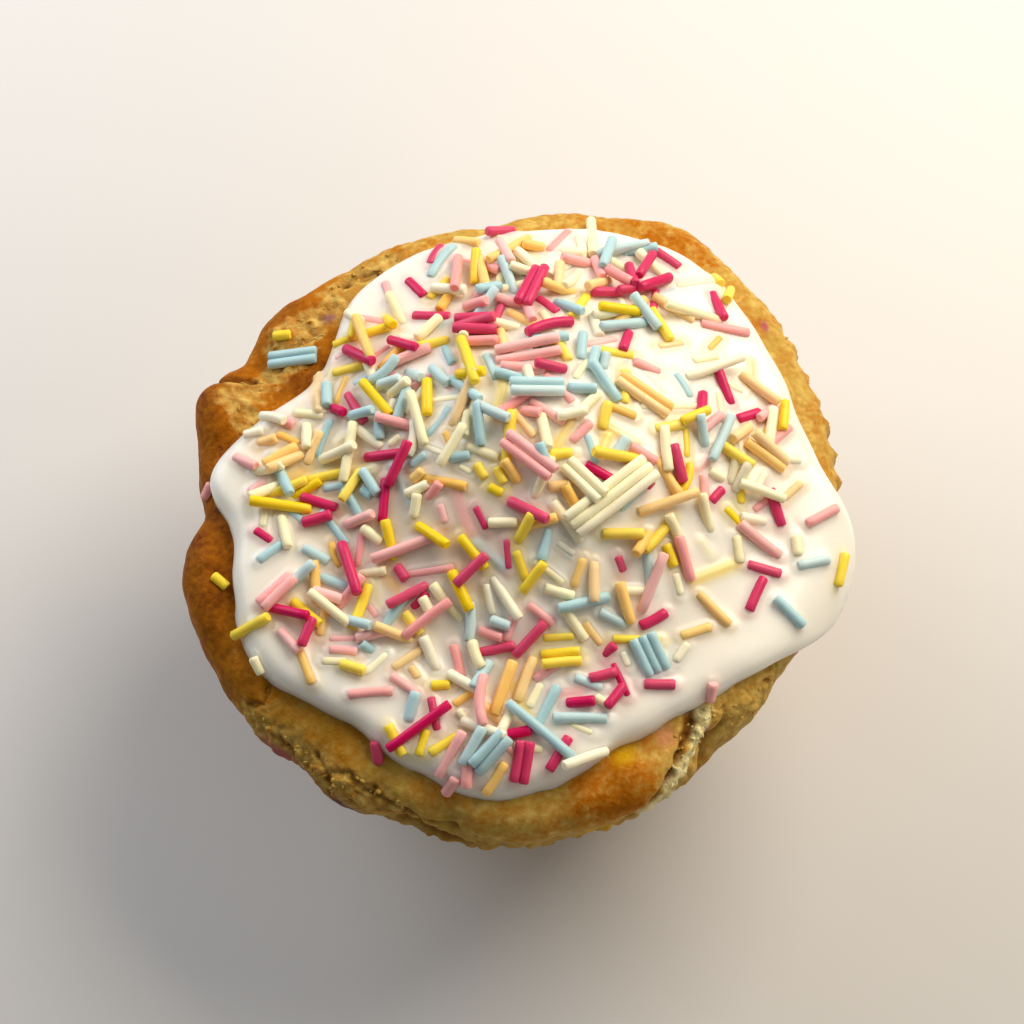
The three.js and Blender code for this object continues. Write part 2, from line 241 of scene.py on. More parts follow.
def smoothstep(value, low, high):
    share = np.clip((value - low) / (high - low), 0, 1)
    return share * share * (3 - 2 * share)


def turned(theta, degrees):
    """The angle from that many degrees to theta, the short way round."""
    return (theta - math.radians(degrees) + 1.5 * TAU) % TAU - TAU / 2


def swollen_radius(radius, swells, theta):
    """The radius at theta of a round with swells on it."""
    return radius + sum(rise * bell(turned(theta, angle) / math.radians(spread))
                        for angle, spread, rise in swells.values())


def crown_radius(theta):
    return swollen_radius(CROWN_RADIUS, CROWN_SWELLS, theta)


def lip_radius(theta):
    return crown_radius(theta) - SHOULDER_WIDTH


def top_height(theta, r):
    offset = np.hypot(r * np.cos(theta) - DOME_X, r * np.sin(theta) - DOME_Y)
    share = np.minimum(offset / DOME_RADIUS, 1)
    skirt = SKIRT_RISE * (1 - (r / lip_radius(theta)) ** 2)
    return LIP_HEIGHT + skirt + DOME_HEIGHT * (1 - share ** 2) ** 2


def smooth_point(theta, along):
    lip = lip_radius(theta)
    phi = TAU / 4 * (1 - (along - lip) / SHOULDER_QUARTER)
    power = 2 / SHOULDER_POWER
    outer = lip + SHOULDER_WIDTH * np.maximum(np.cos(phi), 0) ** power
    reach = np.where(phi > 0, SHOULDER_RISE, SHOULDER_DROP)
    side = WIDEST_HEIGHT + np.sign(phi) * reach * np.abs(np.sin(phi)) ** power
    r = np.where(along > lip, outer, along)
    z = np.where(along > lip, side, top_height(theta, np.minimum(along, lip)))
    return np.stack([r * np.cos(theta), r * np.sin(theta), z], -1)


def smooth_normal(theta, along, step=0.2):
    safe = np.maximum(along, 2 * step)
    down = smooth_point(theta, safe + step) - smooth_point(theta, safe - step)
    turn = smooth_point(theta + step / safe, safe) - smooth_point(theta - step / safe, safe)
    normal = np.cross(down, turn)
    return normal / np.linalg.norm(normal, axis=-1, keepdims=True)


def icing_radius(theta):
    edge = swollen_radius(ICING_RADIUS, ICING_TONGUES, theta)
    return np.minimum(edge, crown_radius(theta) - ICING_INSET)


def along_at(theta, radius):
    """How far along the surface a radius seen from above is, from the axis."""
    lip = lip_radius(theta)
    share = np.clip((radius - lip) / SHOULDER_WIDTH, 0, 1)
    side = lip + SHOULDER_QUARTER * (1 - np.arccos(share ** (SHOULDER_POWER / 2)) / (TAU / 4))
    return np.where(radius <= lip, radius, side)


def icing_reach(theta):
    """How far the icing's edge is from the axis, along the surface."""
    overflow = OVERFLOW_DROP * bell(turned(theta, OVERFLOW_ANGLE) / math.radians(OVERFLOW_SPREAD))
    return along_at(theta, icing_radius(theta)) + overflow


angles = np.radians(np.arange(0, 360, 1.0))
print("the icing's edge is", round(float(icing_reach(angles).min()), 1), "to",
      round(float(icing_reach(angles).max()), 1), "mm from the axis along the surface")

# %% [markdown]
# ## A closed skin from rings
# Both the sponge and the icing are rings of points round the axis. One function joins them into a closed
# mesh with its faces pointing out, and a second one gives the direction outwards at each point. A
# subdivided sphere pushed into shape would do too, but rings put the points where the detail is.

# %% Rings to a mesh
def ring_mesh(name, rings, top, bottom):
    """A smooth closed mesh from rings of equal length, from the top down, in millimetres."""
    number, count = rings.shape[:2]
    points = np.vstack([top, rings.reshape(-1, 3), bottom]) * MM
    k = np.arange(count)
    after = (k + 1) % count
    start = 1 + count * np.arange(number - 1)[:, None]
    quads = np.stack([start + k, start + count + k, start + count + after, start + after], -1).reshape(-1, 4)
    last = 1 + count * (number - 1)
    fan_top = [(0, 1 + int(a), 1 + int(b)) for a, b in zip(k, after)]
    fan_bottom = [(len(points) - 1, last + int(b), last + int(a)) for a, b in zip(k, after)]
    mesh = bpy.data.meshes.new(name)
    mesh.from_pydata(points.tolist(), [], fan_top + quads.tolist() + fan_bottom)
    mesh.shade_smooth()
    return placed(name, mesh)


def ring_normals(rings):
    """The direction outwards at each point of the rings."""
    down = np.gradient(rings, axis=0)
    turn = np.roll(rings, -1, axis=1) - np.roll(rings, 1, axis=1)
    normal = np.cross(down, turn)
    return normal / np.maximum(np.linalg.norm(normal, axis=-1, keepdims=True), 1e-9)


def store(piece, name, values, kind="FLOAT"):
    """Keeps one number, or one colour, at each point of a mesh, for its material to read."""
    layer = piece.data.attributes.new(name, kind, "POINT")
    values = np.asarray(values, np.float32)
    layer.data.foreach_set("color" if kind == "FLOAT_COLOR" else "value", values.ravel())


def at_points(function, points, size):
    """A noise function of mathutils at each point, with its pattern that many millimetres across."""
    flat = (points.reshape(-1, 3) / size).tolist()
    return np.array([function(Vector(p)) for p in flat]).reshape(points.shape[:-1])

# %% [markdown]
# ## The sponge
# On the real cake the batter rose over its paper case, split, and browned. Its skin is smooth and dense,
# and where it tore the pale crumb shows, rough and full of pores. Lower down, the paper's pleats have
# marked the side.
#
# Sculpting would be the usual way. Here the torn places are named, each with an angle and a distance below
# the lip, and noise of a few sizes does the rest, so the relief can be read and changed. Most rings go to
# the band between the icing's edge and the drum, because that is what the photo shows.

# %% Named crags, splits and torn places of the crown
# Name: angle in degrees, distance below the lip, size and height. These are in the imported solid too.
CRAGS = {
    "left corner lobe": (161, 3, 5, 1.2),
    "valley behind it": (150, 2, 3, -1.8),
    "round left lobe": (196, 6, 6, 1.0),
    "left notch": (182, 7, 2.5, -1.2),
    "undercut at front left": (232, 11, 3.5, -1.8),
    "front left lobe": (241, 5, 4, 0.8),
    "front step": (253, 8, 2.2, -1.2),
    "front pit": (259, 5, 1.8, -1.3),
    "front fold": (291, 4, 5.5, 1.3),
    "torn crack": (307, 6, 2.4, -1.8),
    "right front lobe": (318, 6, 4, 0.8),
    "back notch": (95, 5, 2.2, -1.0),
    "back right corner": (62, 5, 4, 0.8),
}
# Name: places as (angle, distance below the lip), then width and depth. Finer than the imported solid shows.
SPLITS = {
    "under the front left lobe": ([(224, 5.6), (227, 4.6), (230, 5.2)], 0.5, 0.5),
    "front left crack": ([(234, 2.6), (237, 3.4), (241, 2.4), (244, 3.4)], 0.24, 0.45),
    "second crack": ([(237, 3.4), (239, 5.2), (238, 6.8), (240, 8.4)], 0.3, 0.55),
    "front fold line": ([(244, 3.7), (249, 4.8), (253, 5.9), (260, 6.4)], 0.43, 0.77),
    "step at the front": ([(249, 7.6), (254, 8.6), (262, 8.9)], 0.5, 0.94),
    "behind the fold": ([(308.5, -0.5), (302, 2.2), (297, 4.4), (290.5, 7.0), (284, 8.8)], 0.5, 1.27),
    "right of the crumb": ([(313, 2.6), (310, 5.6), (304, 8.6)], 0.37, 0.7),
    "left crack": ([(219, 0.2), (221, 2.4), (219, 4.4)], 0.26, 0.51),
    "back left valley": ([(131, 0.2), (140, -1.6), (150, -0.6), (157, 0.6)], 0.56, 0.34),
    "back left hole": ([(120, 0.9), (124, 1.6), (128, 1.2)], 0.5, 0.68),
    "corner notch": ([(154, 0.6), (156, 3.4), (157, 6.2)], 0.5, 1.02),
    "right crack": ([(322, 2.6), (327, 4.0), (333, 4.2)], 0.26, 0.51),
    "left side crack": ([(184, 4.5), (187, 6.4), (185, 9.0)], 0.31, 0.77),
}
# Name: places where the skin tore and pale crumb shows, then their size and how open they are.
TORN = {
    "back left valley": ([(131, 0.2), (140, -1.6), (150, -0.6), (157, 0.6), (162, -1.6)], 2.6, 0.75),
    "back left": ([(116, 1.2), (127, 1.8)], 2.4, 0.7),
    "below the blue strands": ([(140, 0.6), (146, 1.6)], 2.4, 0.65),
    "front right tear": ([(308, 1.6), (304.5, 3.8), (299.5, 6.0), (293.5, 8.4)], 4.0, 1.0),
    "front left tear": ([(222, 6.4), (231, 5.0), (241, 4.8), (250, 7.0)], 4.6, 0.8),
    "front rim": ([(246, 11.0), (256, 9.6), (270, 9.4), (288, 10.0)], 3.4, 0.8),
    "under the left lobe": ([(218, 10.5), (234, 9.5)], 2.6, 0.7),
    "right rim": ([(4, 5.5), (20, 5.0), (36, 6.0), (52, 7.0)], 4.2, 0.35),
    "right front": ([(312, 6.5), (322, 5.0), (334, 5.0)], 3.8, 0.6),
    "back rim": ([(66, 5.0), (84, 4.0), (104, 4.0), (118, 4.0)], 3.6, 0.15),
}
CRAGS_FROM, CRAGS_WHOLE = 0.5, 3  # distances outside the icing's edge where crags start and are whole
WANDER_SIZE = 1.7


def fine_wander(theta, along, amount):
    """Sideways wander in millimetres that keeps splits from being straight."""
    lip = lip_radius(theta)
    points = np.stack([lip * np.cos(theta), lip * np.sin(theta), along], -1)
    return amount * at_points(noise.noise, points, WANDER_SIZE)


def away_from(theta, below, angle, place):
    """Distance in millimetres over the crown from a place, given as its angle and distance below the lip."""
    return np.hypot(turned(theta, angle) * crown_radius(theta), below - place)


def distance_to(theta, below, places):
    """Distance in millimetres over the surface to a line through places on the crown."""
    radius = crown_radius(theta)
    best = np.full(theta.shape, 1e6)
    for (angle_a, below_a), (angle_b, below_b) in zip(places, places[1:]):
        x, y = turned(theta, angle_a) * radius, below - below_a
        dx = math.radians(angle_b - angle_a) * radius
        dy = below_b - below_a
        share = np.clip((x * dx + y * dy) / (dx * dx + dy * dy), 0, 1)
        best = np.minimum(best, np.hypot(x - share * dx, y - share * dy))
    return best


def crag_height(theta, along):
    below = along - lip_radius(theta)
    height = 0  # the sum of all crags, which start outside the icing's edge
    for angle, place, spread, rise in CRAGS.values():
        height = height + rise * bell(away_from(theta, below, angle, place) / spread)
    return smoothstep(along - icing_reach(theta), CRAGS_FROM, CRAGS_WHOLE) * height


print(len(CRAGS), "crags,", len(SPLITS), "splits and", len(TORN), "torn places")

# %% The smooth rings of the sponge
SPONGE_SEGMENTS = 12 * PLEATS
HIDDEN_SHARES = [0.15, 0.3, 0.45, 0.6, 0.72, 0.84, 0.93]
CRUST_RINGS = 68
WALL_RINGS = 36
WALL_CROWDING = 0.9  # a little under 1, so that the rings on the side stand closer towards the base
WALL_TOP = DRUM_HEIGHT + 2
WALL_TOP_RADIUS = 35
UNDER_ICING = 2.0  # how far the fine rings start inside the icing's edge
BASE_ROUND = 1.0
PLEAT_FADE = 2  # height over which the pleats rise from the flat base


def wall_point(theta, z):
    """A point of the pleated side at height z. Sharp valleys part round ribs, as a paper case leaves them."""
    fold = PLEAT_DEPTH * (np.abs(np.cos(PLEATS / 2 * theta)) - 0.5) * smoothstep(z, 0, PLEAT_FADE)
    rise = np.clip((z - BASE_ROUND) / (WALL_TOP - BASE_ROUND), 0, 1)
    r = BASE_RADIUS + (DRUM_TOP_RADIUS - BASE_RADIUS) * rise + fold
    r = r - BASE_ROUND * np.clip(1 - z / BASE_ROUND, 0, 1) ** 2
    return np.stack([r * np.cos(theta), r * np.sin(theta), z + 0 * r], -1)


def sponge_rings():
    """Rings from the top of the dome down to the base, with each one's place along the crown."""
    theta = np.arange(SPONGE_SEGMENTS) / SPONGE_SEGMENTS * TAU
    lip = lip_radius(theta)
    inward = np.clip((WALL_TOP_RADIUS - lip) / SHOULDER_WIDTH, 0, 1)
    last_turn = -np.arccos(inward ** (SHOULDER_POWER / 2))
    end = lip + SHOULDER_QUARTER * (1 - last_turn / (TAU / 4))
    start = icing_reach(theta) - UNDER_ICING
    alongs = [share * start for share in HIDDEN_SHARES]
    alongs += [start + (end - start) * k / (CRUST_RINGS - 1) for k in range(CRUST_RINGS)]
    alongs = np.array(alongs)
    theta = np.broadcast_to(theta, alongs.shape)
    crown = smooth_point(theta, alongs)
    foot = crown[-1, :, 2]
    heights = foot * (1 - (np.arange(1, WALL_RINGS + 1)[:, None] / WALL_RINGS) ** WALL_CROWDING)
    wall = wall_point(theta[:WALL_RINGS], heights)
    return theta, alongs, crown, wall


theta, alongs, crown, wall = sponge_rings()
print("sponge:", len(crown), "rings on the crown and", len(wall), "on the side")

# %% Relief of crust, crumb, pores and pleats
LOBE_SIZE, LOBE_HEIGHT = 9, 0.45
BUMP_SIZE, BUMP_HEIGHT = 3.2, 0.3
CRUMB_SIZE, CRUMB_MIDDLE = 1.6, 0.4
FINE_LUMPS = (0.55, 0.35)  # size and height of the finer lumps, in shares of the coarse ones
SKIN_CRUMB, TORN_CRUMB = 0.1, 0.8  # height of the crumb's lumps on whole skin, and what a tear adds to it
TORN_SINK = 0.25
PORE_SPACING, PORE_RADIUS, SMALLEST_PORE = 2.3, 0.6, 0.35
PORE_FLARE = 0.7
CHANCE_CELLS, SIZE_CELLS = 37.0, 91.0  # spread the centres, so that each pore draws its own numbers
SKIN_PORES, TORN_PORES = 0.1, 0.4  # share of the cells with a pore on whole skin, and what a tear adds to it
SKIN_PORE_DEPTH, TORN_PORE_DEPTH = 0.35, 0.3
# Size and height of what makes a tear's edge ragged, and where it opens and closes, in shares of its size.
COARSE_RAG, FINE_RAG = (2.6, 1.3), (0.9, 0.6)
TORN_WHOLE, TORN_GONE = 0.2, 1.25
SPLIT_WANDER = 0.6
SCALLOP_DEPTH, SCALLOP_MIDDLE = 0.62, 0.64
SHARP_SCALLOPS = 20  # the angle at the right where the pleats marked the rim most
DULL_SCALLOPS = 0.12  # how deep they are elsewhere
SCALLOPS_FROM, SCALLOPS_WHOLE = 3, 8  # below the lip
WALL_BUMPS, WALL_CRUMB, WALL_PORE_DEPTH = 0.2, 0.25, 0.3
WALL_PORES, WALL_PORE_RADIUS = 0.4, 0.7
BARE_FROM, BARE_WHOLE = -0.6, 0.9  # distances outside the icing's edge where the relief starts and is whole
SHARP_WITHIN = (0.79, 0.93)  # cosines of the angle from the sharpest scallops where they end and are whole
LOBED_SCALLOPS = 1.2  # how much deeper they are on a lobe
FOOT_HEIGHT = 1.5  # the side's relief fades out below it, so the foot stays flat


def pores(points, share, size):
    """Round pits: one to a cell of the pattern, in that share of the cells, of uneven radius up to a size."""
    flat = (points.reshape(-1, 3) / PORE_SPACING).tolist()
    depth = np.zeros(len(flat))
    for k, p in enumerate(flat):
        distances, centres = noise.voronoi(Vector(p))
        chance = noise.cell(centres[0] * CHANCE_CELLS)
        radius = size * (SMALLEST_PORE + (1 - SMALLEST_PORE) * abs(noise.cell(centres[0] * SIZE_CELLS)))
        if abs(chance) < share.flat[k]:
            depth[k] = max(1 - distances[0] * PORE_SPACING / radius, 0) ** PORE_FLARE
    return depth.reshape(points.shape[:-1])


def crumb_lumps(points):
    """Soft lumps of two sizes with creases between them: 0 in a crease, about 0.6 on a lump."""
    size, height = FINE_LUMPS
    coarse = np.abs(at_points(noise.noise, points, CRUMB_SIZE))
    return coarse + height * np.abs(at_points(noise.noise, points, size * CRUMB_SIZE))


def torn_share(theta, below, points):
    """1 where the crumb is open, 0 where the skin is whole."""
    coarse, fine = (height * at_points(noise.noise, points, size) for size, height in (COARSE_RAG, FINE_RAG))
    share = np.zeros(theta.shape)
    for places, size, amount in TORN.values():
        distance = distance_to(theta, below, places) + (coarse + fine)
        share = np.maximum(share, amount * (1 - smoothstep(distance, TORN_WHOLE * size, TORN_GONE * size)))
    return share


below = alongs - lip_radius(theta)
bare = smoothstep(alongs - icing_reach(theta), BARE_FROM, BARE_WHOLE)
torn = torn_share(theta, below, crown)
lobes = at_points(noise.noise, crown, LOBE_SIZE)
bumps = at_points(noise.noise, crown, BUMP_SIZE)
crumb = crumb_lumps(crown)
pits = pores(crown, SKIN_PORES + TORN_PORES * torn, PORE_RADIUS)
relief = LOBE_HEIGHT * lobes + BUMP_HEIGHT * bumps + (SKIN_CRUMB + TORN_CRUMB * torn) * (crumb - CRUMB_MIDDLE)
relief = relief - (SKIN_PORE_DEPTH + TORN_PORE_DEPTH * torn) * pits - TORN_SINK * torn
wander = fine_wander(theta, alongs, SPLIT_WANDER)
splits = np.zeros(theta.shape)
for places, width, depth in SPLITS.values():
    splits = np.maximum(splits, depth * bell((distance_to(theta, below, places) + wander) / width))
relief -= splits
# Each pleat of the paper left a ridge on the rim, sharpest and most even at the right.
ridge = SCALLOP_MIDDLE - np.abs(np.sin(PLEATS / 2 * theta))
sharpness = smoothstep(np.cos(theta - math.radians(SHARP_SCALLOPS)), *SHARP_WITHIN)
pleated = smoothstep(below, SCALLOPS_FROM, SCALLOPS_WHOLE)
pleated = pleated * (DULL_SCALLOPS + (1 - DULL_SCALLOPS) * sharpness)
relief += SCALLOP_DEPTH * ridge * pleated * (1 + LOBED_SCALLOPS * lobes)
crown_fine = crown + smooth_normal(theta, alongs) * (crag_height(theta, alongs) + bare * relief)[..., None]

wall_theta = theta[:WALL_RINGS]
wall_crumb = crumb_lumps(wall)
wall_bumps = at_points(noise.noise, wall, BUMP_SIZE)
wall_pits = pores(wall, np.full(wall_theta.shape, WALL_PORES), WALL_PORE_RADIUS)
wall_relief = WALL_BUMPS * wall_bumps + WALL_CRUMB * (wall_crumb - CRUMB_MIDDLE) - WALL_PORE_DEPTH * wall_pits
wall_relief *= smoothstep(wall[..., 2], 0.0, FOOT_HEIGHT)
wall_fine = wall + ring_normals(wall) * wall_relief[..., None]

rings = np.concatenate([crown_fine, wall_fine])
peak = smooth_point(np.zeros(1), np.zeros(1))
sponge = ring_mesh("sponge_crumb", rings, peak, np.zeros((1, 3)))
print("sponge:", len(sponge.data.polygons), "faces; deepest split", round(float(splits.max()), 2), "mm")

# %% [markdown]
# ### What the oven and the batter did to its colour, and painted shade
# The skin is golden at the back and right and roasts to orange brown at the left and on the front fold.
# Torn crumb is pale. Low down under the overhang and at the front, a darker olive is painted shade, and so
# is the darkening of pits, splits and the creases of the crumb. Strands that were stirred into the batter
# left spots of colour. Painting by hand would be the usual way. Here each effect is kept as a number at
# every point of the mesh, from the named places, and the material turns the numbers into colour.

# %% Roast, painted shade and stains at each point
# How far the skin is roasted, every 30 degrees from the right.
ROAST = [0.25, 0.35, 0.5, 0.35, 0.5, 0.75, 1.0, 0.85, 0.25, 0.2, 0.3, 0.15]
# Name: angle, distance below the lip, size and amount of extra roast.
ROAST_SPOTS = {
    "beside the icing at the left": (150, -3.6, 2.4, 0.25),
    "back left skin": (138, 3.5, 4.5, 0.2),
    "left corner": (161, 5.0, 5.0, 0.2),
    "front left skin": (236, 0.5, 3.0, 0.2),
    "front skin": (256, 1.0, 2.6, 0.3),
    "front fold": (288, 3.0, 4.5, 0.4),
    "right skin": (318, 1.0, 3.0, 0.2),
}
# Name: angle, distance below the lip, size round, size down, colour.
MAGENTA, PURPLE, YELLOW, PINK, BLUE = "#a81d62", "#7a4a63", "#e3b40c", "#d98a80", "#7f9aa0"
STAINS = {
    "magenta at the front left": (229, 8.0, 3.2, 2.0, MAGENTA),
    "purple at the front left": (241, 8.2, 1.8, 1.2, PURPLE),
    "purple at the back left": (134, -1.2, 1.0, 0.7, PURPLE),
    "magenta at the back right": (37, 1.6, 0.8, 0.6, MAGENTA),
    "magenta at the front right": (308, 3.8, 0.7, 0.6, MAGENTA),
    "yellow at the back": (62, 5.4, 1.6, 0.8, YELLOW),
    "yellow on the fold": (291, -0.4, 1.8, 1.0, YELLOW),
    "yellow on the front rim": (284, 8.8, 2.0, 1.1, YELLOW),
    "pink under the overflow": (333, 8.4, 1.6, 1.4, PINK),
    "pink wash on the fold": (300, 0.2, 1.4, 1.2, "#c98a62"),
    "blue at the right": (333, 6.6, 1.2, 0.8, BLUE),
}
STAIN_RADIUS = 38  # where a size round the crown is measured
STAIN_STRENGTH = 0.75
BATTER_SEED = 409
BATTER_STAINS = 70
BATTER_STRENGTH = 0.6
WALL_ROAST, WALL_TORN, WALL_LOW_SHADE = 0.3, 0.35, 0.15
WALL_BUMP_ROAST = 0.25
FOOT_ROAST, FOOT_TO = 0.35, 5  # the tin's base roasts the foot, up to this height
TOP_ROAST, TOP_FROM = 0.2, 20  # and the oven's air roasts the top of the side, from this height
PIT_SHADOW, CREASE_SHADOW, WALL_PIT_SHADOW = 0.7, 0.35, 0.8
# What stands out roasts more, and what tore open roasts less.
LOBE_ROAST, BUMP_ROAST, RIDGE_ROAST, TORN_LESS = 0.2, 0.12, 0.35, 0.3
# Painted shade, as a darker olive: low down under the overhang, most at the front, the whole front left,
# and a patch at the front right.
# The first two have an angle in degrees, a spread in radians and an amount; the patch has its two sizes.
LOW_SHADE_FROM, LOW_SHADE_WHOLE = 5.5, 10
LOW_FRONT, LOW_FRONT_SPREAD, LOW_SHADE_ROUND = 252, 0.7, 0.2
FRONT_LEFT, FRONT_LEFT_SPREAD, FRONT_LEFT_SHADE = 233, 0.38, 0.7
FRONT_RIGHT, FRONT_RIGHT_BELOW, FRONT_RIGHT_ROUND, FRONT_RIGHT_DOWN, FRONT_RIGHT_SHADE = 324, 6, 5, 3, 0.35
TORN_LESS_SHADED = 0.6


def around(values, theta):
    """A smooth closed curve, cubic between each two, through values at even steps round the circle."""
    values = np.asarray(values, float)
    at = theta / TAU % 1 * len(values)
    i = np.floor(at).astype(int)
    t = at - i
    a, b, c, d = (values[(i + k) % len(values)] for k in (-1, 0, 1, 2))
    return b + 0.5 * t * (c - a + t * (2 * a - 5 * b + 4 * c - d + t * (3 * (b - c) + d - a)))


def batter_stains():
    """Stains on the sides that the photo does not show, as angle, height, sizes and colour."""
    random = np.random.default_rng(BATTER_SEED)
    for _ in range(BATTER_STAINS):
        yield (random.uniform(0, 360), random.uniform(2, 27), random.uniform(0.6, 1.7),
               random.uniform(0.5, 1.1), random.choice([MAGENTA, YELLOW, PINK, PINK, BLUE, YELLOW]))


def washed(layer, amount, colour):
    """A layer of colours with one more laid over it. The fourth number gathers how much was laid on."""
    amount = amount[..., None]
    return layer * (1 - amount) + amount * np.array(linear(colour))


def stain_layer(theta, down, stains, strength):
    """Colours laid on at each point, each one already scaled by its amount in the fourth number."""
    layer = np.zeros(theta.shape + (4,))
    for angle, place, size_round, size_down, colour in stains:
        reach = np.hypot(turned(theta, angle) * STAIN_RADIUS / size_round, (down - place) / size_down)
        layer = washed(layer, strength * np.exp(-reach ** 3), colour)
    return layer


roast = around(ROAST, theta) + LOBE_ROAST * lobes + BUMP_ROAST * bumps + RIDGE_ROAST * ridge * pleated
for angle, place, size, amount in ROAST_SPOTS.values():
    roast = roast + amount * bell(away_from(theta, below, angle, place) / size)
roast = np.clip(roast - TORN_LESS * torn, 0, 1)
# Painted shade: the crumb darkens to olive low under the overhang and at the front.
painted_low_shade = LOW_SHADE_ROUND + (1 - LOW_SHADE_ROUND) * bell(turned(theta, LOW_FRONT) / LOW_FRONT_SPREAD)
painted_low_shade = smoothstep(below, LOW_SHADE_FROM, LOW_SHADE_WHOLE) * painted_low_shade
painted_low_shade = np.maximum(painted_low_shade, FRONT_LEFT_SHADE * bell(turned(theta, FRONT_LEFT) / FRONT_LEFT_SPREAD))
patch_round = turned(theta, FRONT_RIGHT) * STAIN_RADIUS / FRONT_RIGHT_ROUND
patch_down = (below - FRONT_RIGHT_BELOW) / FRONT_RIGHT_DOWN
painted_low_shade = np.maximum(painted_low_shade, FRONT_RIGHT_SHADE * bell(np.hypot(patch_round, patch_down)))
painted_low_shade *= 1 - TORN_LESS_SHADED * torn
stains = stain_layer(theta, below, STAINS.values(), STAIN_STRENGTH)

wall_z = wall[..., 2]
wall_roast = WALL_ROAST + WALL_BUMP_ROAST * wall_bumps + FOOT_ROAST * (1 - smoothstep(wall_z, 0, FOOT_TO))
wall_roast += TOP_ROAST * smoothstep(wall_z, TOP_FROM, DRUM_HEIGHT)
wall_stains = stain_layer(wall_theta, wall_z, batter_stains(), BATTER_STRENGTH)


def whole(crown_values, wall_values):
    """Values for all the points of the sponge's mesh, its two poles too."""
    both = np.concatenate([crown_values, wall_values])
    flat = both.reshape((-1,) + both.shape[2:])
    return np.concatenate([flat[:1], flat, flat[-1:]])


store(sponge, "torn", whole(torn, WALL_TORN + 0 * wall_z))
store(sponge, "roast", whole(roast, np.clip(wall_roast, 0, 1)))
store(sponge, "painted_low_shade", whole(painted_low_shade, WALL_LOW_SHADE + 0 * wall_z))
# Painted shade: pores, splits and the creases between crumb lumps are darkened in the colour.
shadow = np.clip(PIT_SHADOW * pits + splits + torn * (CREASE_SHADOW - crumb), 0, 1)
store(sponge, "pit", whole(shadow, WALL_PIT_SHADOW * wall_pits))
store(sponge, "stain", whole(stains, wall_stains), "FLOAT_COLOR")
print("mean roast", round(float(roast.mean()), 2), "and", len(STAINS) + BATTER_STAINS, "stains")

# %% [markdown]
# ### Baked sponge as a material
# Baked batter is a foam of starch with a browned skin. It is matt and lets a little light in, so pale crumb
# glows at its edges. The material reads the numbers above, and adds what is finer than the mesh: crumb of
# about 0.5 mm as bump, and speckles of darker and paler skin.

# %% Helpers for what a material reads and mixes
def kept(tree, name):
    """The node that reads what is kept at each point of a mesh."""
    return add(tree, "ShaderNodeAttribute", attribute_name=name)


def pattern(tree, size_mm, detail=3.0):
    """The socket of a cloudy noise with grains of about that size."""
    inputs = {"Vector": add(tree, "ShaderNodeTexCoord").outputs["Object"], "Scale": 1 / (size_mm * MM)}
    return add(tree, "ShaderNodeTexNoise", {**inputs, "Detail": detail}).outputs[0]


def eased(tree, value, low, high):
    """0 where a value is low, 1 where it is high."""
    return add(tree, "ShaderNodeMapRange", {0: value, 1: low, 2: high}, clamp=True).outputs[0]


def math_of(tree, operation, *values):
    return add(tree, "ShaderNodeMath", dict(enumerate(values)), operation=operation).outputs[0]


def swing(tree, value, amount, middle):
    """A pattern's swing about its mean, times an amount, round a middle value."""
    return math_of(tree, "MULTIPLY_ADD", math_of(tree, "SUBTRACT", value, 0.5), amount, middle)


def laid_over(tree, base, layer):
    """A base colour under a layer of washes, which holds their amount as its alpha."""
    left = math_of(tree, "SUBTRACT", 1.0, layer.outputs["Alpha"])
    inputs = {0: base, 1: left, 2: layer.outputs["Color"]}
    return add(tree, "ShaderNodeVectorMath", inputs, operation="MULTIPLY_ADD").outputs[0]


def grained(tree, height, strength, depth_mm):
    """A normal that a pattern makes uneven, for what is finer than the mesh."""
    inputs = {"Height": height, "Strength": strength, "Distance": depth_mm * MM}
    return add(tree, "ShaderNodeBump", inputs).outputs[0]

# %% Baked sponge
CRUST_GOLD = "#c4a44e"
CRUST_ORANGE = "#b46a08"
CRUST_BROWN = "#6c3300"
CRUMB_PALE = "#dcbb66"
CRUMB_TAN = "#b98334"
CRUMB_CREAM = "#f2e2a4"
LOW_SHADE_COLOUR = "#856418"
PIT_SHADE = "#84541a"


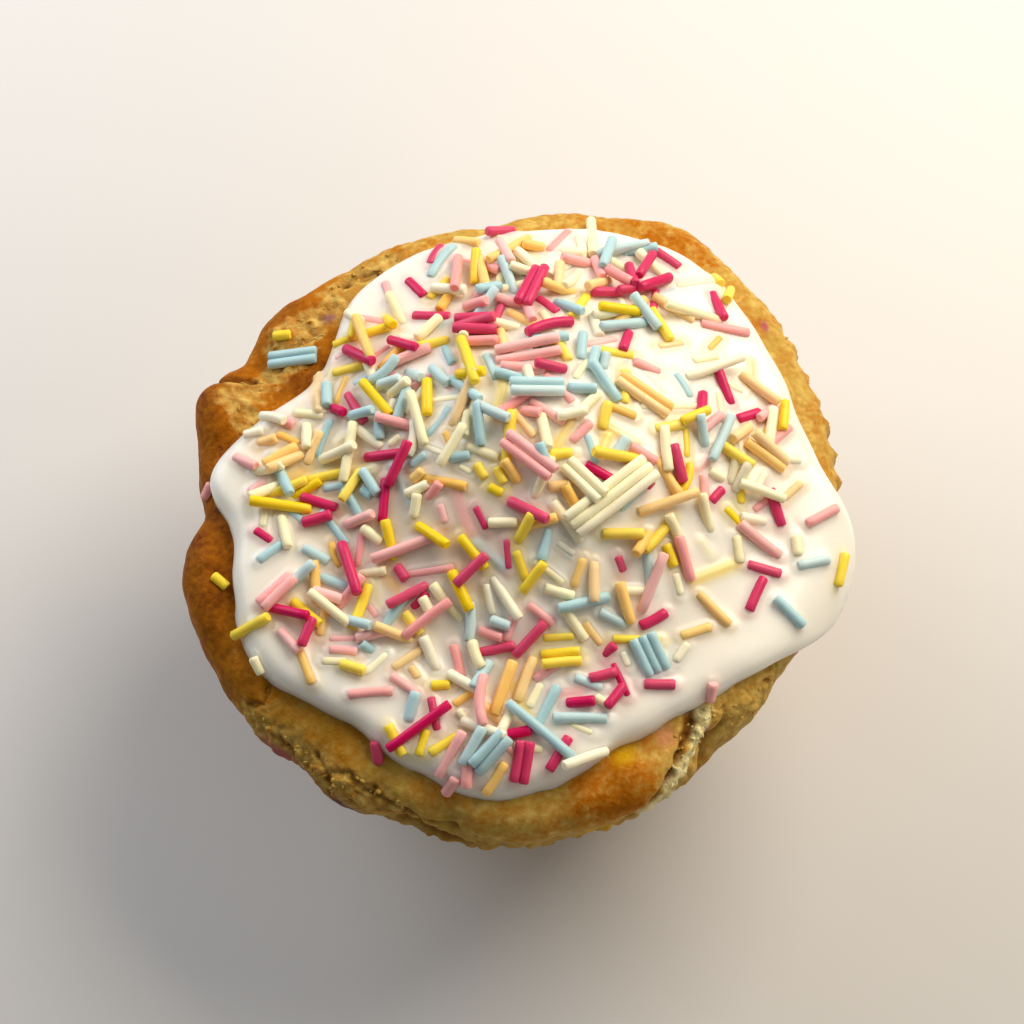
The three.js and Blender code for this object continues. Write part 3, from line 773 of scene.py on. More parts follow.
def baked_sponge():
    """Matt crust, golden to brown where it roasted, over pale crumb that glows a little."""
    material, tree = new_material("baked sponge")
    browned = swing(tree, pattern(tree, 0.7), 0.7, kept(tree, "roast").outputs["Fac"])
    browned = swing(tree, pattern(tree, 2.8, 4.0), 0.7, browned)
    skin = mixed(tree, eased(tree, browned, 0.05, 0.6), linear(CRUST_GOLD), linear(CRUST_ORANGE))
    skin = mixed(tree, eased(tree, browned, 0.6, 1.25), skin, linear(CRUST_BROWN))
    thin = eased(tree, pattern(tree, 1.3), 0.5, 0.7)
    thin = math_of(tree, "MULTIPLY", thin, eased(tree, browned, 0.7, 0.1))
    skin = mixed(tree, thin, skin, linear(CRUMB_PALE))
    mottled = eased(tree, pattern(tree, 1.1), 0.35, 0.65)
    open_crumb = mixed(tree, mottled, linear(CRUMB_PALE), linear(CRUMB_TAN))
    torn = kept(tree, "torn").outputs["Fac"]
    open_crumb = mixed(tree, eased(tree, torn, 0.8, 0.93), open_crumb, linear(CRUMB_CREAM))
    ragged = swing(tree, pattern(tree, 0.9, 4.0), 1.2, torn)
    surface = mixed(tree, eased(tree, ragged, 0.2, 0.8), skin, open_crumb)
    # Painted shade: darker olive crumb low under the overhang and at the front.
    surface = mixed(tree, kept(tree, "painted_low_shade").outputs["Fac"], surface, linear(LOW_SHADE_COLOUR))
    # Painted shade in pores, splits and creases.
    surface = mixed(tree, kept(tree, "pit").outputs["Fac"], surface, linear(PIT_SHADE))
    rough = math_of(tree, "MULTIPLY_ADD", torn, 0.5, 0.45)
    surfaced(tree, {
        "Base Color": laid_over(tree, surface, kept(tree, "stain")),
        "Roughness": 0.58,
        "Specular IOR Level": 0.06,
        "Subsurface Weight": 0.35,
        "Subsurface Radius": (1.0, 0.55, 0.2),
        "Subsurface Scale": 1.0 * MM,
        "Normal": grained(tree, pattern(tree, 0.5, 4.0), rough, 0.25),
    })
    return material


sponge.data.materials.append(baked_sponge())
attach(sponge, "root")
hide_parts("sponge")
print("sponge finished with", sponge.data.materials[0].name)

# %% [markdown]
# ### Loose crumbs
# Crumbs cling where the crust tore, more on top than down the side. Their places are drawn at random from
# the open parts of the mesh above, and Geometry Nodes put a lump at each, turned and stretched its own way.
# They take the same baked sponge finish.

# %% Crumbs on the torn places
CRUMB_COUNT = 150
CRUMB_SEED = 52
CRUMB_RADIUS = 0.28
CRUMBS_TO, CRUMBS_END = 5, 8  # below the lip, where they grow rare and stop
SMALLEST_CRUMB, LARGEST_CRUMB = (0.4, 0.4, 0.25), (1.9, 1.5, 0.8)  # in radii, along its three sides


def new_tree(name, **kinds):
    """A Geometry Nodes tree with these inputs beside its geometry, and the sockets that they come in by."""
    tree = bpy.data.node_groups.new(name, "GeometryNodeTree")
    for title, kind in [("Geometry", "Geometry"), *kinds.items()]:
        tree.interface.new_socket(title, in_out="INPUT", socket_type="NodeSocket" + kind)
    tree.interface.new_socket("Geometry", in_out="OUTPUT", socket_type="NodeSocketGeometry")
    return tree, add(tree, "NodeGroupInput").outputs


def end_tree(tree, shape, finish):
    """Smooths what the tree made, turns it into real mesh with its material, and hands it out."""
    soft = add(tree, "GeometryNodeSetShadeSmooth", {0: shape})
    real = add(tree, "GeometryNodeRealizeInstances", {0: soft.outputs[0]})
    finished = add(tree, "GeometryNodeSetMaterial", {0: real.outputs[0], 2: finish})
    add(tree, "NodeGroupOutput", {0: finished.outputs[0]})
    return tree


def crumb_tree():
    tree, given = new_tree("clinging crumbs", Radius="Float", Seed="Int", Finish="Material")

    def drawn(low, high):
        limits = {0: low, 1: high, 8: given["Seed"]}
        return add(tree, "FunctionNodeRandomValue", limits, data_type="FLOAT_VECTOR").outputs[0]

    lump = add(tree, "GeometryNodeMeshIcoSphere", {0: given["Radius"], 1: 1}).outputs[0]
    turn, stretch = drawn((0, 0, 0), (TAU, TAU, TAU)), drawn(SMALLEST_CRUMB, LARGEST_CRUMB)
    lumps = add(tree, "GeometryNodeInstanceOnPoints", {0: given["Geometry"], 2: lump, 5: turn, 6: stretch})
    return end_tree(tree, lumps.outputs[0], given["Finish"])


def worked_in(piece, tree, **values):
    """Runs a tree on a piece with these inputs, and keeps the result as its plain mesh."""
    modifier = piece.modifiers.new(tree.name, "NODES")
    modifier.node_group = tree
    for item in tree.interface.items_tree:
        if item.name in values:
            modifier[item.identifier] = values[item.name]
    bpy.context.view_layer.update()
    evaluated = piece.evaluated_get(bpy.context.evaluated_depsgraph_get())
    mesh = bpy.data.meshes.new_from_object(evaluated)
    piece.modifiers.clear()
    piece.data = mesh


def point_object(name, points):
    """A mesh of loose points, in millimetres."""
    mesh = bpy.data.meshes.new(name)
    mesh.from_pydata([tuple(p) for p in np.asarray(points) * MM], [], [])
    return placed(name, mesh)


random = np.random.default_rng(CRUMB_SEED)
openness = (torn ** 3 * bare * (1 - smoothstep(below, CRUMBS_TO, CRUMBS_END))).ravel()
chosen = random.choice(openness.size, CRUMB_COUNT, replace=False, p=openness / openness.sum())
crumbs = point_object("crumbs", crown_fine.reshape(-1, 3)[chosen])
for name, values in [("torn", torn), ("roast", roast), ("painted_low_shade", painted_low_shade), ("pit", 0 * torn)]:
    store(crumbs, name, values.ravel()[chosen])
store(crumbs, "stain", stains.reshape(-1, 4)[chosen], "FLOAT_COLOR")
worked_in(crumbs, crumb_tree(), Radius=CRUMB_RADIUS * MM, Seed=CRUMB_SEED, Finish=sponge.data.materials[0])
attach(crumbs, "root")
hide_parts("sponge")
print(CRUMB_COUNT, "crumbs,", len(crumbs.data.polygons), "faces")

# %% [markdown]
# ## Where the sugar strands lie
# Sugar strands are thin sticks of sugar paste, pressed through a die and broken. They were strewn by hand,
# so they lie at all angles, thicker at the back left, and some stuck together side by side in the die.
#
# The ones that catch the eye are where they are in the imported solid: their places were read off the photo
# and worked out in millimetres. The rest follow the solid's rule with the same seed: patches with a middle, a
# spread and a number. A dice of whole numbers gives the same throws in any language. Short broken bits then
# fill the roomiest places left between them.

# %% Strands that stand out, and patches for the rest
STRAND_RADIUS = 0.62
BUNDLE_STEP = 1.05
# Each is x, y, turn in degrees, length, and how many lie side by side if not one.
NOTED_STRANDS = {
    "magenta": [
        (2, 23.5, 70, 6.5, 2), (4, 17.5, 25, 6), (4, 11.5, 0, 3.5), (15.5, 28, 65, 5),
        (16.5, 25.5, 40, 5.5), (30, -2.5, 110, 4.5), (28.5, -10, 165, 4), (27.5, -13, 65, 4.5),
        (9.5, -1, 155, 4), (1.5, -5.5, 155, 5), (-5, -11.5, 40, 4.5), (1.5, -19, 45, 5),
        (-23, -2, 160, 4.5), (-11, -29, 35, 8.5), (0.5, -33, 80, 4.5, 2), (-4.5, 18.5, 0, 5, 3),
        (15.5, -16.5, 30, 3.5), (16, -24, 0, 3.5),
    ],
    "yellow": [
        (-27.5, -2.5, 175, 7), (-16, 10, 125, 5.5), (-5, 12.5, 105, 7), (37.5, -9, 67, 4),
        (31.5, 9.2, 80, 4.2), (12, -7.5, 5, 4.5), (11, 1, 0, 5.5), (17, 19.5, 115, 5), (2, -12.5, 50, 4),
        (5, -21, 5, 4.5, 2), (-30.5, -16.9, 18, 4.6), (25.9, 26, 73, 3),
    ],
    "blue": [
        (-9, 30, 60, 5.5), (2.5, 8.5, 5, 6, 2), (11, 29.5, 75, 5.5), (15, 20.5, 130, 5), (10, 10, 125, 5.5),
        (23.5, 5, 65, 7), (31.2, -15, 138, 3.9), (15, -20.5, 115, 4.5, 3), (-3, -32, 45, 5, 2),
        (7, -28, 0, 6), (2.5, -29.5, 140, 9.5),
    ],
    "pink": [
        (25, 20.5, 175, 6), (1.5, 14, 5, 7.5, 2), (1.5, 0.5, 140, 7, 2), (28, -6.5, 145, 6),
        (35.6, -3.2, 34, 4.2), (19, -9.5, 110, 5), (-10, -16.5, 35, 6.5), (-27.5, -13, 45, 5, 2),
        (-16.5, -25, 5, 5), (-7, 27, 90, 6.5),
    ],
    "apricot": [
        (14.5, 9, 150, 7, 2), (17, -3.5, 25, 7), (29, 4, 150, 5.5, 2), (22.5, -15, 135, 5),
        (-1.5, -24.5, 70, 6.5), (-27.5, 3.5, 35, 4.5, 2),
    ],
    "cream": [
        (10.5, -3.5, 40, 11.5, 3), (7.5, -2, 135, 5.5, 2), (-7, 2.5, 55, 5.5), (23, 14, 25, 7),
        (-11, 6.5, 100, 6.5), (7.5, -32.5, 25, 5.5), (28, -1, 165, 5.5),
    ],
}
# Short ones at the icing's edge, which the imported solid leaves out.
EDGE_STRANDS = {
    "magenta": [(-15.8, -31.2, 100, 2.2), (-2, 34.6, 20, 3.5)],
    "pink": [(-7.4, -35.2, 45, 1.8), (22.0, -24.4, 80, 1.5)],
    "yellow": [(24.6, 28.2, 110, 2)],
    "cream": [(-29.6, -21.2, 120, 2), (-31.2, 7.2, 10, 2.4), (-29.0, 8.8, 155, 3.4), (32.5, -7, 95, 2.4)],
}
# Name: x, y, spread, number of strands.
PATCHES = {
    "back left": (-12, 13.5, 10, 66),
    "back": (-2, 25, 8, 34),
    "back right": (13, 25, 9, 30),
    "middle": (4, 8, 9, 30),
    "right": (24, 6, 8, 34),
    "left": (-22, 0, 8, 28),
    "front left": (-20, -14, 8, 26),
    "front middle": (5, -18, 9, 26),
    "front": (-3, -28, 9, 26),
    "everywhere": (1, 0, 27, 34),
}
DICE_FACTOR, DICE_PRIME = 16807, 2147483647  # together they run through every whole number below the prime
SCATTER_SEED = 2711
SCATTER_TRIES = 5
ICING_MARGIN = 1.5
# Length of the strewn ones: the shortest, how much longer they come, and what the last tenth has on top.
SHORTEST, LONGER_BY, LAST_TENTH_BY = 3.2, 2.2, 2
# How many of each colour there are in a hundred.
COLOUR_SHARES = {"cream": 27, "blue": 18, "yellow": 15, "pink": 15, "apricot": 14, "magenta": 11}
COLOUR_SEED = 88
# Broken bits between the rest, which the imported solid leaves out. Name: x, y, spread, number.
SHORT_PATCHES = {
    "left": (-20, 3, 9, 42),
    "front left": (-17, -15, 8, 30),
    "front middle": (3, -21, 9, 30),
    "right": (19, -2, 9, 16),
    "back": (6, 22, 10, 14),
    "middle": (2, 2, 9, 14),
}
SHORT_SEED = 31
SHORT_SPREAD = 0.6  # of a patch's spread
SHORT_LENGTHS = (1.5, 3.6)
SHORT_TRIES = 12
SHORT_MARGIN = 3.5
CLEAR_ROOM = 1.1


def dice(seed):
    """An endless run of numbers between 0 and 1, the same in any language."""
    state = seed
    while True:
        state = state * DICE_FACTOR % DICE_PRIME
        yield state / DICE_PRIME


def is_iced(x, y, margin=ICING_MARGIN):
    theta = math.atan2(y, x)
    return math.hypot(x, y) < float(icing_radius(theta)) - margin


def heading(turn):
    """The direction in plan of a strand with that turn in degrees."""
    return math.cos(math.radians(turn)), math.sin(math.radians(turn))


def points_along(x, y, turn, length, shares):
    """Places in plan along a strand, at shares of its length from its middle."""
    along_x, along_y = heading(turn)
    return x + shares * length * along_x, y + shares * length * along_y


def spread_bundle(x, y, turn, length, number=1):
    """Strands side by side as (x, y, turn, length) each."""
    along_x, along_y = heading(turn)
    for k in range(number):
        across = (k - (number - 1) / 2) * BUNDLE_STEP
        yield x - across * along_y, y + across * along_x, turn, length


def strewn_strands(noted):
    """The strands that the rule adds, as (x, y, turn, length) each."""
    throws = dice(SCATTER_SEED)
    strewn = []
    for middle_x, middle_y, spread, count in PATCHES.values():
        for _ in range(count):
            best = (0, None, None)
            for _ in range(SCATTER_TRIES):
                x = middle_x + spread * (next(throws) + next(throws) + next(throws) - 1.5)
                y = middle_y + spread * (next(throws) + next(throws) + next(throws) - 1.5)
                others = np.array([strand[:2] for strand in noted + strewn])
                room = np.hypot(others[:, 0] - x, others[:, 1] - y).min() if is_iced(x, y) else 0
                if room > best[0]:
                    best = (room, x, y)
            turn = 180 * next(throws)
            length = SHORTEST + LONGER_BY * next(throws) + (LAST_TENTH_BY if next(throws) > 0.9 else 0)
            if best[0] > 0:
                strewn.append((best[1], best[2], turn, length))
    return strewn


def short_strands(others):
    """Short bits as (x, y, turn, length) each, each at the roomiest of a few places."""
    random = np.random.default_rng(SHORT_SEED)
    shares = np.array([-0.4, -0.2, 0, 0.2, 0.4])
    bits = []
    for middle_x, middle_y, spread, count in SHORT_PATCHES.values():
        for _ in range(count):
            tries = random.normal((middle_x, middle_y), SHORT_SPREAD * spread, (SHORT_TRIES, 2))
            taken = np.concatenate([np.stack(points_along(*strand, shares), 1) for strand in others + bits])
            room = [np.hypot(*(taken - place).T).min() * is_iced(*place, SHORT_MARGIN) for place in tries]
            x, y = tries[int(np.argmax(room))]
            if max(room) > CLEAR_ROOM:
                bits.append((float(x), float(y), random.uniform(0, 180), random.uniform(*SHORT_LENGTHS)))
    return bits


noted = [strand for rows in NOTED_STRANDS.values() for row in rows for strand in spread_bundle(*row)]
strewn = strewn_strands(noted)
short = short_strands(noted + strewn)
print(len(noted), "strands placed by eye,", len(strewn), "by the rule and", len(short), "short bits")

# %% [markdown]
# ### How each strand comes to rest
# A strand lies with its ends on the icing, a little sunk. One that lands across another is held up by it,
# and tips until its far end finds the icing. Letting rigid bodies fall would settle them too, but this is
# quicker and the same each time: of the lines through two supports, one each side of the strand's middle,
# the highest at the middle is the one it rests on. Those that catch the eye are laid last, on top.

# %% Surfaces for the strands to lie on
STAY_APART = 1.25  # in strand radii, between the axes of crossing strands: they pressed in when soft
THICKENING = (0.45, 0.92)  # shares of the way to its edge between which the icing thickens


def icing_lift(theta, along):
    """The icing's height over the smooth crown, which rounds off to nothing at its edge."""
    reach = icing_reach(theta)
    body = ICING_ON_DOME + (ICING_AT_EDGE - ICING_ON_DOME) * smoothstep(along / reach, *THICKENING)
    inward = np.clip((reach - along) / ICING_EDGE_ROUND, 0, 1)
    return (GAP + body) * np.sqrt(1 - (1 - inward) ** 2)


def above(x, y, lift):
    """Points over places in plan, on the crown raised by a lift, and the directions out of it there."""
    theta, wanted = np.arctan2(y, x), np.hypot(x, y)
    radius = wanted
    # What is raised off the shoulder leans outwards, so the point over a place is found in a few steps.
    for _ in range(5):
        along = along_at(theta, radius)
        normal = smooth_normal(theta, along)
        points = smooth_point(theta, along) + normal * lift(theta, along)[..., None]
        radius = radius + wanted - np.hypot(points[..., 0], points[..., 1])
    return points, normal


def nearest_shares(one, other):
    """Where two strands come closest in plan, as a share along each from -0.5 to 0.5, and how close."""
    step = np.array(other[:2]) - np.array(one[:2])
    u, v = (strand[3] * np.array(heading(strand[2])) for strand in (one, other))
    turn = u[0] * v[1] - u[1] * v[0]
    if abs(turn) > 1e-6:
        s = (step[0] * v[1] - step[1] * v[0]) / turn
        t = (step[0] * u[1] - step[1] * u[0]) / turn
        if max(abs(s), abs(t)) <= 0.5:
            return s, t, 0.0
    tries = []
    for end in (-0.5, 0.5):
        s = float(np.clip((step + end * v) @ u / (u @ u), -0.5, 0.5))
        tries.append((np.linalg.norm(step + end * v - s * u), s, end))
        t = float(np.clip((end * u - step) @ v / (v @ v), -0.5, 0.5))
        tries.append((np.linalg.norm(step + t * v - end * u), end, t))
    distance, s, t = min(tries)
    return s, t, distance

# %% Colour, size and rest of each strand
LONG_STRAND = 5.2  # millimetres: the strewn ones shorter than this are broken a little shorter still
BROKEN_BY, BROKEN_OFF = 1.3, 0.2
SINK = (-0.3, 0.2)  # height of a strand's axis over the icing, in millimetres
NOTED_SINK = 0.12
PILE_HEIGHT = 1.9  # no end stands higher than this: where more strands cross, they pressed into each other
SHORT_HEIGHT = 1.1  # a short bit that would stand higher has slid off, so it is left out
FILMED_SHARE = 0.2  # of the strewn ones, sunk deeper, so that a film of icing runs over them
FILMED_SINK = (-0.5, -0.35)
# Share of the crown's bulge that a strand follows, where it is flat and where it bulges by more than this.
FLAT_SAG, ROUND_SAG, ROUND_FROM = 0.5, 0.9, 0.25
BENT_SHARE = 0.1
SLIGHT_BEND, BEND = 0.006, 0.055  # of a strand's length
THICKNESSES = (0.94, 1.08)  # in strand radii
VEILED_SHARE = 0.4  # of all, with a thin film of icing on them
VEIL_SHARES = (0.3, 1)  # of the most that each colour gets
VEILS = {"magenta": 0.05, "yellow": 0.1, "blue": 0.3, "pink": 0.25, "apricot": 0.35, "cream": 0.6}
AXIS_SHARES = np.array([-0.5, -0.25, 0, 0.25, 0.5])  # of a strand's length, from its middle


def straight(first, last):
    """An even run from a first value or point to a last one, at the shares along an axis."""
    return first + (AXIS_SHARES[:, None] + 0.5) * (last - first)


def resting_line(base, supports):
    """Heights at the two ends of a strand over its supports, each a (share along, height)."""
    points = supports + [(-0.5, base), (0.5, base)]
    best = (base, base, base)
    for share_a, height_a in points:
        for share_b, height_b in points:
            if share_a <= 0 < share_b:
                slope = (height_b - height_a) / (share_b - share_a)
                middle = height_a - slope * share_a
                if middle > best[0]:
                    best = (middle, middle - slope / 2, middle + slope / 2)
    return min(best[1], PILE_HEIGHT), min(best[2], PILE_HEIGHT)


def strand_queue(random):
    """All strands in the order of laying, each with its colour and, if listed one by one, its bundle."""
    names = list(COLOUR_SHARES)
    chances = np.array(list(COLOUR_SHARES.values())) / sum(COLOUR_SHARES.values())
    queue = [(strand, str(random.choice(names, p=chances)), None) for strand in strewn + short]
    for group in (EDGE_STRANDS, NOTED_STRANDS):
        for colour, rows in group.items():
            queue += [(strand, colour, (colour, row)) for row in rows for strand in spread_bundle(*row)]
    return queue


def supports_of(strand, bundle, laid):
    """What a strand rests on among those laid before it, each as a share along it and a height."""
    x, y, _, length = strand
    supports = []
    for other in laid:
        other_x, other_y, _, other_length = other["strand"]
        if math.hypot(other_x - x, other_y - y) > (other_length + length) / 2 + 2 * STRAND_RADIUS:
            continue
        if bundle is not None and other["bundle"] == bundle:
            continue
        share, other_share, distance = nearest_shares(strand, other["strand"])
        apart = (STAY_APART * STRAND_RADIUS) ** 2 - distance ** 2
        if apart > 0:
            height = other["ends"][0] + (other_share + 0.5) * (other["ends"][1] - other["ends"][0])
            supports.append((share, height + math.sqrt(apart)))
    return supports


def laid_strands():
    """Each strand's axis as points in millimetres, with its colour, radius, shade and bundle."""
    random = np.random.default_rng(COLOUR_SEED)
    laid = []
    for strand, colour, bundle in strand_queue(random):
        x, y, turn, length = strand
        is_short = bundle is None and length <= SHORT_LENGTHS[1]
        if bundle is None and not is_short and length < LONG_STRAND:
            length = LONG_STRAND - BROKEN_BY * (LONG_STRAND - length) - BROKEN_OFF
            strand = (x, y, turn, length)
        base = random.uniform(*SINK)
        filmed = bundle is None and random.random() < FILMED_SHARE and colour != "magenta"
        if bundle is not None:
            base = NOTED_SINK
        supports = supports_of(strand, bundle, laid)
        filmed = filmed and not supports
        if filmed:
            base = random.uniform(*FILMED_SINK)
        ends = resting_line(base, supports)
        if is_short and max(ends) > SHORT_HEIGHT:
            continue
        places, normals = above(*points_along(*strand, AXIS_SHARES), icing_lift)
        axis = straight(places[0], places[4])
        sag = places[2] - axis[2]
        axis += sag * (ROUND_SAG if sag @ normals[2] > ROUND_FROM else FLAT_SAG)
        axis += normals[2] * straight(*ends)
        bend = random.normal(0, SLIGHT_BEND) + (random.random() < BENT_SHARE) * random.normal(0, BEND)
        along_x, along_y = heading(turn)
        axis += np.outer(bend * length * (1 - 4 * AXIS_SHARES ** 2), (-along_y, along_x, 0))
        radius, shade = STRAND_RADIUS * random.uniform(*THICKNESSES), random.random()
        veil = VEILS[colour] * random.uniform(*VEIL_SHARES) * (random.random() < VEILED_SHARE)
        laid.append({"strand": strand, "colour": colour, "bundle": bundle, "ends": ends, "axis": axis,
                     "radius": radius, "shade": shade, "veil": veil, "filmed": filmed})
    return laid


strands = laid_strands()
raised = [max(strand["ends"]) for strand in strands]
print(len(strands), "strands; the highest end is", round(max(raised), 1), "mm over the icing, the mean",
      round(float(np.mean(raised)), 2))

# %% [markdown]
# ## The icing
# Icing sugar and a little water make a thick white glaze that runs, sets with a round edge, and lets some
# light through. It creeps up the strands that were dropped in it and covers those that sank. A fluid
# simulation could pour it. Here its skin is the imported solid's, with a soft swell, a wandering edge, and a
# rise at every strand.

# %% The icing's surface with strands sunk in it
ICING_SEGMENTS = 560
ICING_TOP_RINGS, TOP_CROWDING = 118, 0.8
ICING_EDGE_RINGS, EDGE_CROWDING = 34, 1.6
ICING_EDGE_BAND = 3.2
SWELL_SIZE, SWELL = 9, 0.16
RIPPLE_SIZE, RIPPLE = 2.6, 0.03
SWELL_FROM, RISE_FROM = 1.2, 0.6  # how thick the icing is where they are whole: thinner towards its edge
EDGE_WANDER, WANDER_SIZES, FINE_WANDER = 0.4, (4.2, 1.6), 0.15
WANDER_FROM = 0.8  # share of the way to the edge
MENISCUS, MENISCUS_REACH, MENISCUS_RISE = 0.3, 0.3, 1.5  # the last in strand radii
DYE_FLAT, DYE_SPREAD, DYE_DEPTH = 0.4, 0.75, 0.8  # even so far from a strand's axis, then how it fades
FILM = 0.06
FILM_EDGE = (0.8, 1.25)  # in strand radii from the axis of a sunk one
FILM_PRINT = 0.62  # how much of its colour a strand shows through the film over it
NEAR_STRAND = 2  # how far past a strand's ends points still feel it
LEVELLING = 30  # rounds of evening out, as wet icing levels itself over the crown


def icing_rings():
    """Rings from near the axis out to the icing's edge: angles, places along the surface, and lift."""
    theta = np.arange(ICING_SEGMENTS) / ICING_SEGMENTS * TAU
    edge = ICING_RADIUS * np.stack([np.cos(theta), np.sin(theta), 0 * theta], -1)
    wide, narrow = (at_points(noise.noise, edge, size) for size in WANDER_SIZES)
    wander = EDGE_WANDER * (wide + FINE_WANDER * narrow)
    reach = icing_reach(theta)
    inner = reach - ICING_EDGE_BAND
    alongs = [inner * (k / ICING_TOP_RINGS) ** TOP_CROWDING for k in range(1, ICING_TOP_RINGS)]
    for k in range(ICING_EDGE_RINGS):
        alongs.append(reach - ICING_EDGE_BAND * (1 - k / (ICING_EDGE_RINGS - 1)) ** EDGE_CROWDING)
    alongs = np.array(alongs)
    theta = np.broadcast_to(theta, alongs.shape)
    lift = icing_lift(theta, alongs)
    moved = alongs + wander * smoothstep(alongs / reach, WANDER_FROM, 1)
    return theta, moved, lift


def raise_round(points, normals, strand, rise):
    """Makes the icing creep up one strand, and returns the points near it with its share of dye there."""
    a, b = strand["axis"][0], strand["axis"][4]
    felt = np.linalg.norm(b - a) / 2 + NEAR_STRAND
    near = np.flatnonzero(np.linalg.norm(points - (a + b) / 2, axis=1) < felt)
    if not len(near):
        return None
    p, n = points[near], normals[near]
    share = np.clip((p - a) @ (b - a) / ((b - a) @ (b - a)), 0, 1)[:, None]
    offset = a + share * (b - a) - p
    height = np.einsum("ij,ij->i", offset, n)
    side = np.linalg.norm(offset - height[:, None] * n, axis=1)
    radius = strand["radius"]
    creep = np.clip(1 - np.abs(height) / (MENISCUS_RISE * radius), 0, 1) * MENISCUS
    creep = creep * np.exp(-np.maximum(side - radius, 0) / MENISCUS_REACH)
    amount = bell(np.maximum(side - DYE_FLAT, 0) / DYE_SPREAD) * np.exp(-np.maximum(height, 0) / DYE_DEPTH)
    amount = amount * DYE_RUNS[strand["colour"]]
    if strand["filmed"]:
        within = 1 - smoothstep(side, *(radius * share for share in FILM_EDGE))
        over = height + np.sqrt(np.maximum(radius ** 2 - side ** 2, 0)) + FILM
        creep = np.maximum(creep, np.where(side < radius, over, FILM * within))
        amount = np.maximum(amount, FILM_PRINT * within)
    rise[near] = np.maximum(rise[near], creep)
    return near, amount


theta, alongs, lift = icing_rings()
normals = smooth_normal(theta, alongs)
smooth = smooth_point(theta, alongs)
swell = SWELL * at_points(noise.noise, smooth, SWELL_SIZE)
swell += RIPPLE * at_points(noise.noise, smooth, RIPPLE_SIZE)
swell *= np.minimum(lift / SWELL_FROM, 1)
top = smooth + normals * (lift + swell)[..., None]
for _ in range(LEVELLING):
    beside = (np.roll(top, 1, axis=1) + np.roll(top, -1, axis=1)) / 2
    top[1:-1] = 0.25 * (top[:-2] + top[2:]) + 0.25 * (top[1:-1] + beside[1:-1])
shape = top.shape[:2]
flat_points, flat_normals = top.reshape(-1, 3), normals.reshape(-1, 3)
rise = np.zeros(len(flat_points))

STRAND_COLOURS = {
    "magenta": "#d2005a",
    "yellow": "#ffd900",
    "blue": "#b2d6da",
    "pink": "#ffb0ac",
    "apricot": "#ffca6c",
    "cream": "#fff3c8",
}
# How much of each dye runs into the wet icing.
DYE_RUNS = {"magenta": 0.24, "yellow": 0.34, "blue": 0.16, "pink": 0.2, "apricot": 0.3, "cream": 0.1}
dye = np.zeros((len(flat_points), 4))
for strand in strands:
    reached = raise_round(flat_points, flat_normals, strand, rise)
    if reached:
        near, amount = reached
        dye[near] = washed(dye[near], amount, STRAND_COLOURS[strand["colour"]])
rise = rise.reshape(shape) * np.minimum(lift / RISE_FROM, 1)
top = top + normals * rise[..., None]

UNDERSIDE_STEPS = [0.0, 0.5, 2, 6, 14, 24]
UNDERSIDE_SINK = 0.3  # the underside lies this deep in the crown, so that no gap shows at the edge
reach = alongs[-1]
under = []
for step in UNDERSIDE_STEPS:
    along = np.maximum(reach - step, 1)
    under.append(smooth_point(theta[0], along) - smooth_normal(theta[0], along) * UNDERSIDE_SINK)
rings = np.concatenate([top, np.array(under)])
pole = smooth_point(np.zeros(1), np.zeros(1))
icing = ring_mesh("icing_glaze", rings, pole + [0, 0, ICING_ON_DOME + GAP], pole - [0, 0, UNDERSIDE_SINK])
print("icing:", len(icing.data.polygons), "faces; highest rise", round(float(rise.max()), 2), "mm")

# %% [markdown]
# ### Thin and thick icing, and painted shade
# On the dome's flank the icing ran thin, and the sponge under it makes it beige grey; this grey is also
# painted shade, most of it on the dome's left and front flanks. Where it is thick it is white. Some dye has
# run from the strands. Each of these is again a number at every point.

# %% Where the icing is thin, with painted shade on the dome's flanks
# Name: x, y, spread and amount.
THIN_AND_SHADED_PLACES = {
    "left flank of the dome": (-17, -1, 8, 0.9),
    "front flank of the dome": (-7, -8, 7, 0.7),
    "front left of the dome": (-17, -11, 5, 0.5),
    "back left hollow": (-22, 12, 6, 0.5),
    "back of the dome": (-4, 22, 8, 0.4),
}
# Name: x, y, spread, amount and colour of a wide wash of dye.
WASHES = {
    "yellow at the left": (-24, 1, 6, 0.28, "#e8c63a"),
    "yellow at the front left": (-26, -15, 4, 0.2, "#e8c63a"),
    "apricot at the back right": (14, 13, 8, 0.16, "#f7cf8e"),
    "apricot at the right": (28, 4, 6, 0.14, "#f7cf8e"),
    "pink at the front": (0, -28, 6, 0.08, "#eaa6a4"),
}


def nearness(points, x, y, spread):
    """1 at points over a place in plan, falling off round it."""
    return bell(np.hypot(points[:, 0] - x, points[:, 1] - y) / spread)


THIN_SWING, THIN_SIZE = 0.12, 6
# Thin icing and painted shade: the icing is greyed at these places, most on the dome's left and front flanks.
thin = np.zeros(len(flat_points))
for x, y, spread, amount in THIN_AND_SHADED_PLACES.values():
    thin = np.maximum(thin, amount * nearness(flat_points, x, y, spread))
thin += THIN_SWING * at_points(noise.noise, flat_points, THIN_SIZE)
for x, y, spread, amount, colour in WASHES.values():
    dye = washed(dye, amount * nearness(flat_points, x, y, spread), colour)
hidden = len(UNDERSIDE_STEPS) * ICING_SEGMENTS
store(icing, "thin", np.concatenate([thin[:1], np.clip(thin, 0, 1), np.zeros(hidden + 1)]))
store(icing, "dye", np.concatenate([dye[:1], dye, np.zeros((hidden + 1, 4))]), "FLOAT_COLOR")
print("icing: thin at", len(THIN_AND_SHADED_PLACES), "places, with", len(WASHES), "wide washes of dye")

# %% Sugar glaze
ICING_WHITE = "#f6f1e4"
ICING_THIN_AND_SHADED = "#cdb79a"


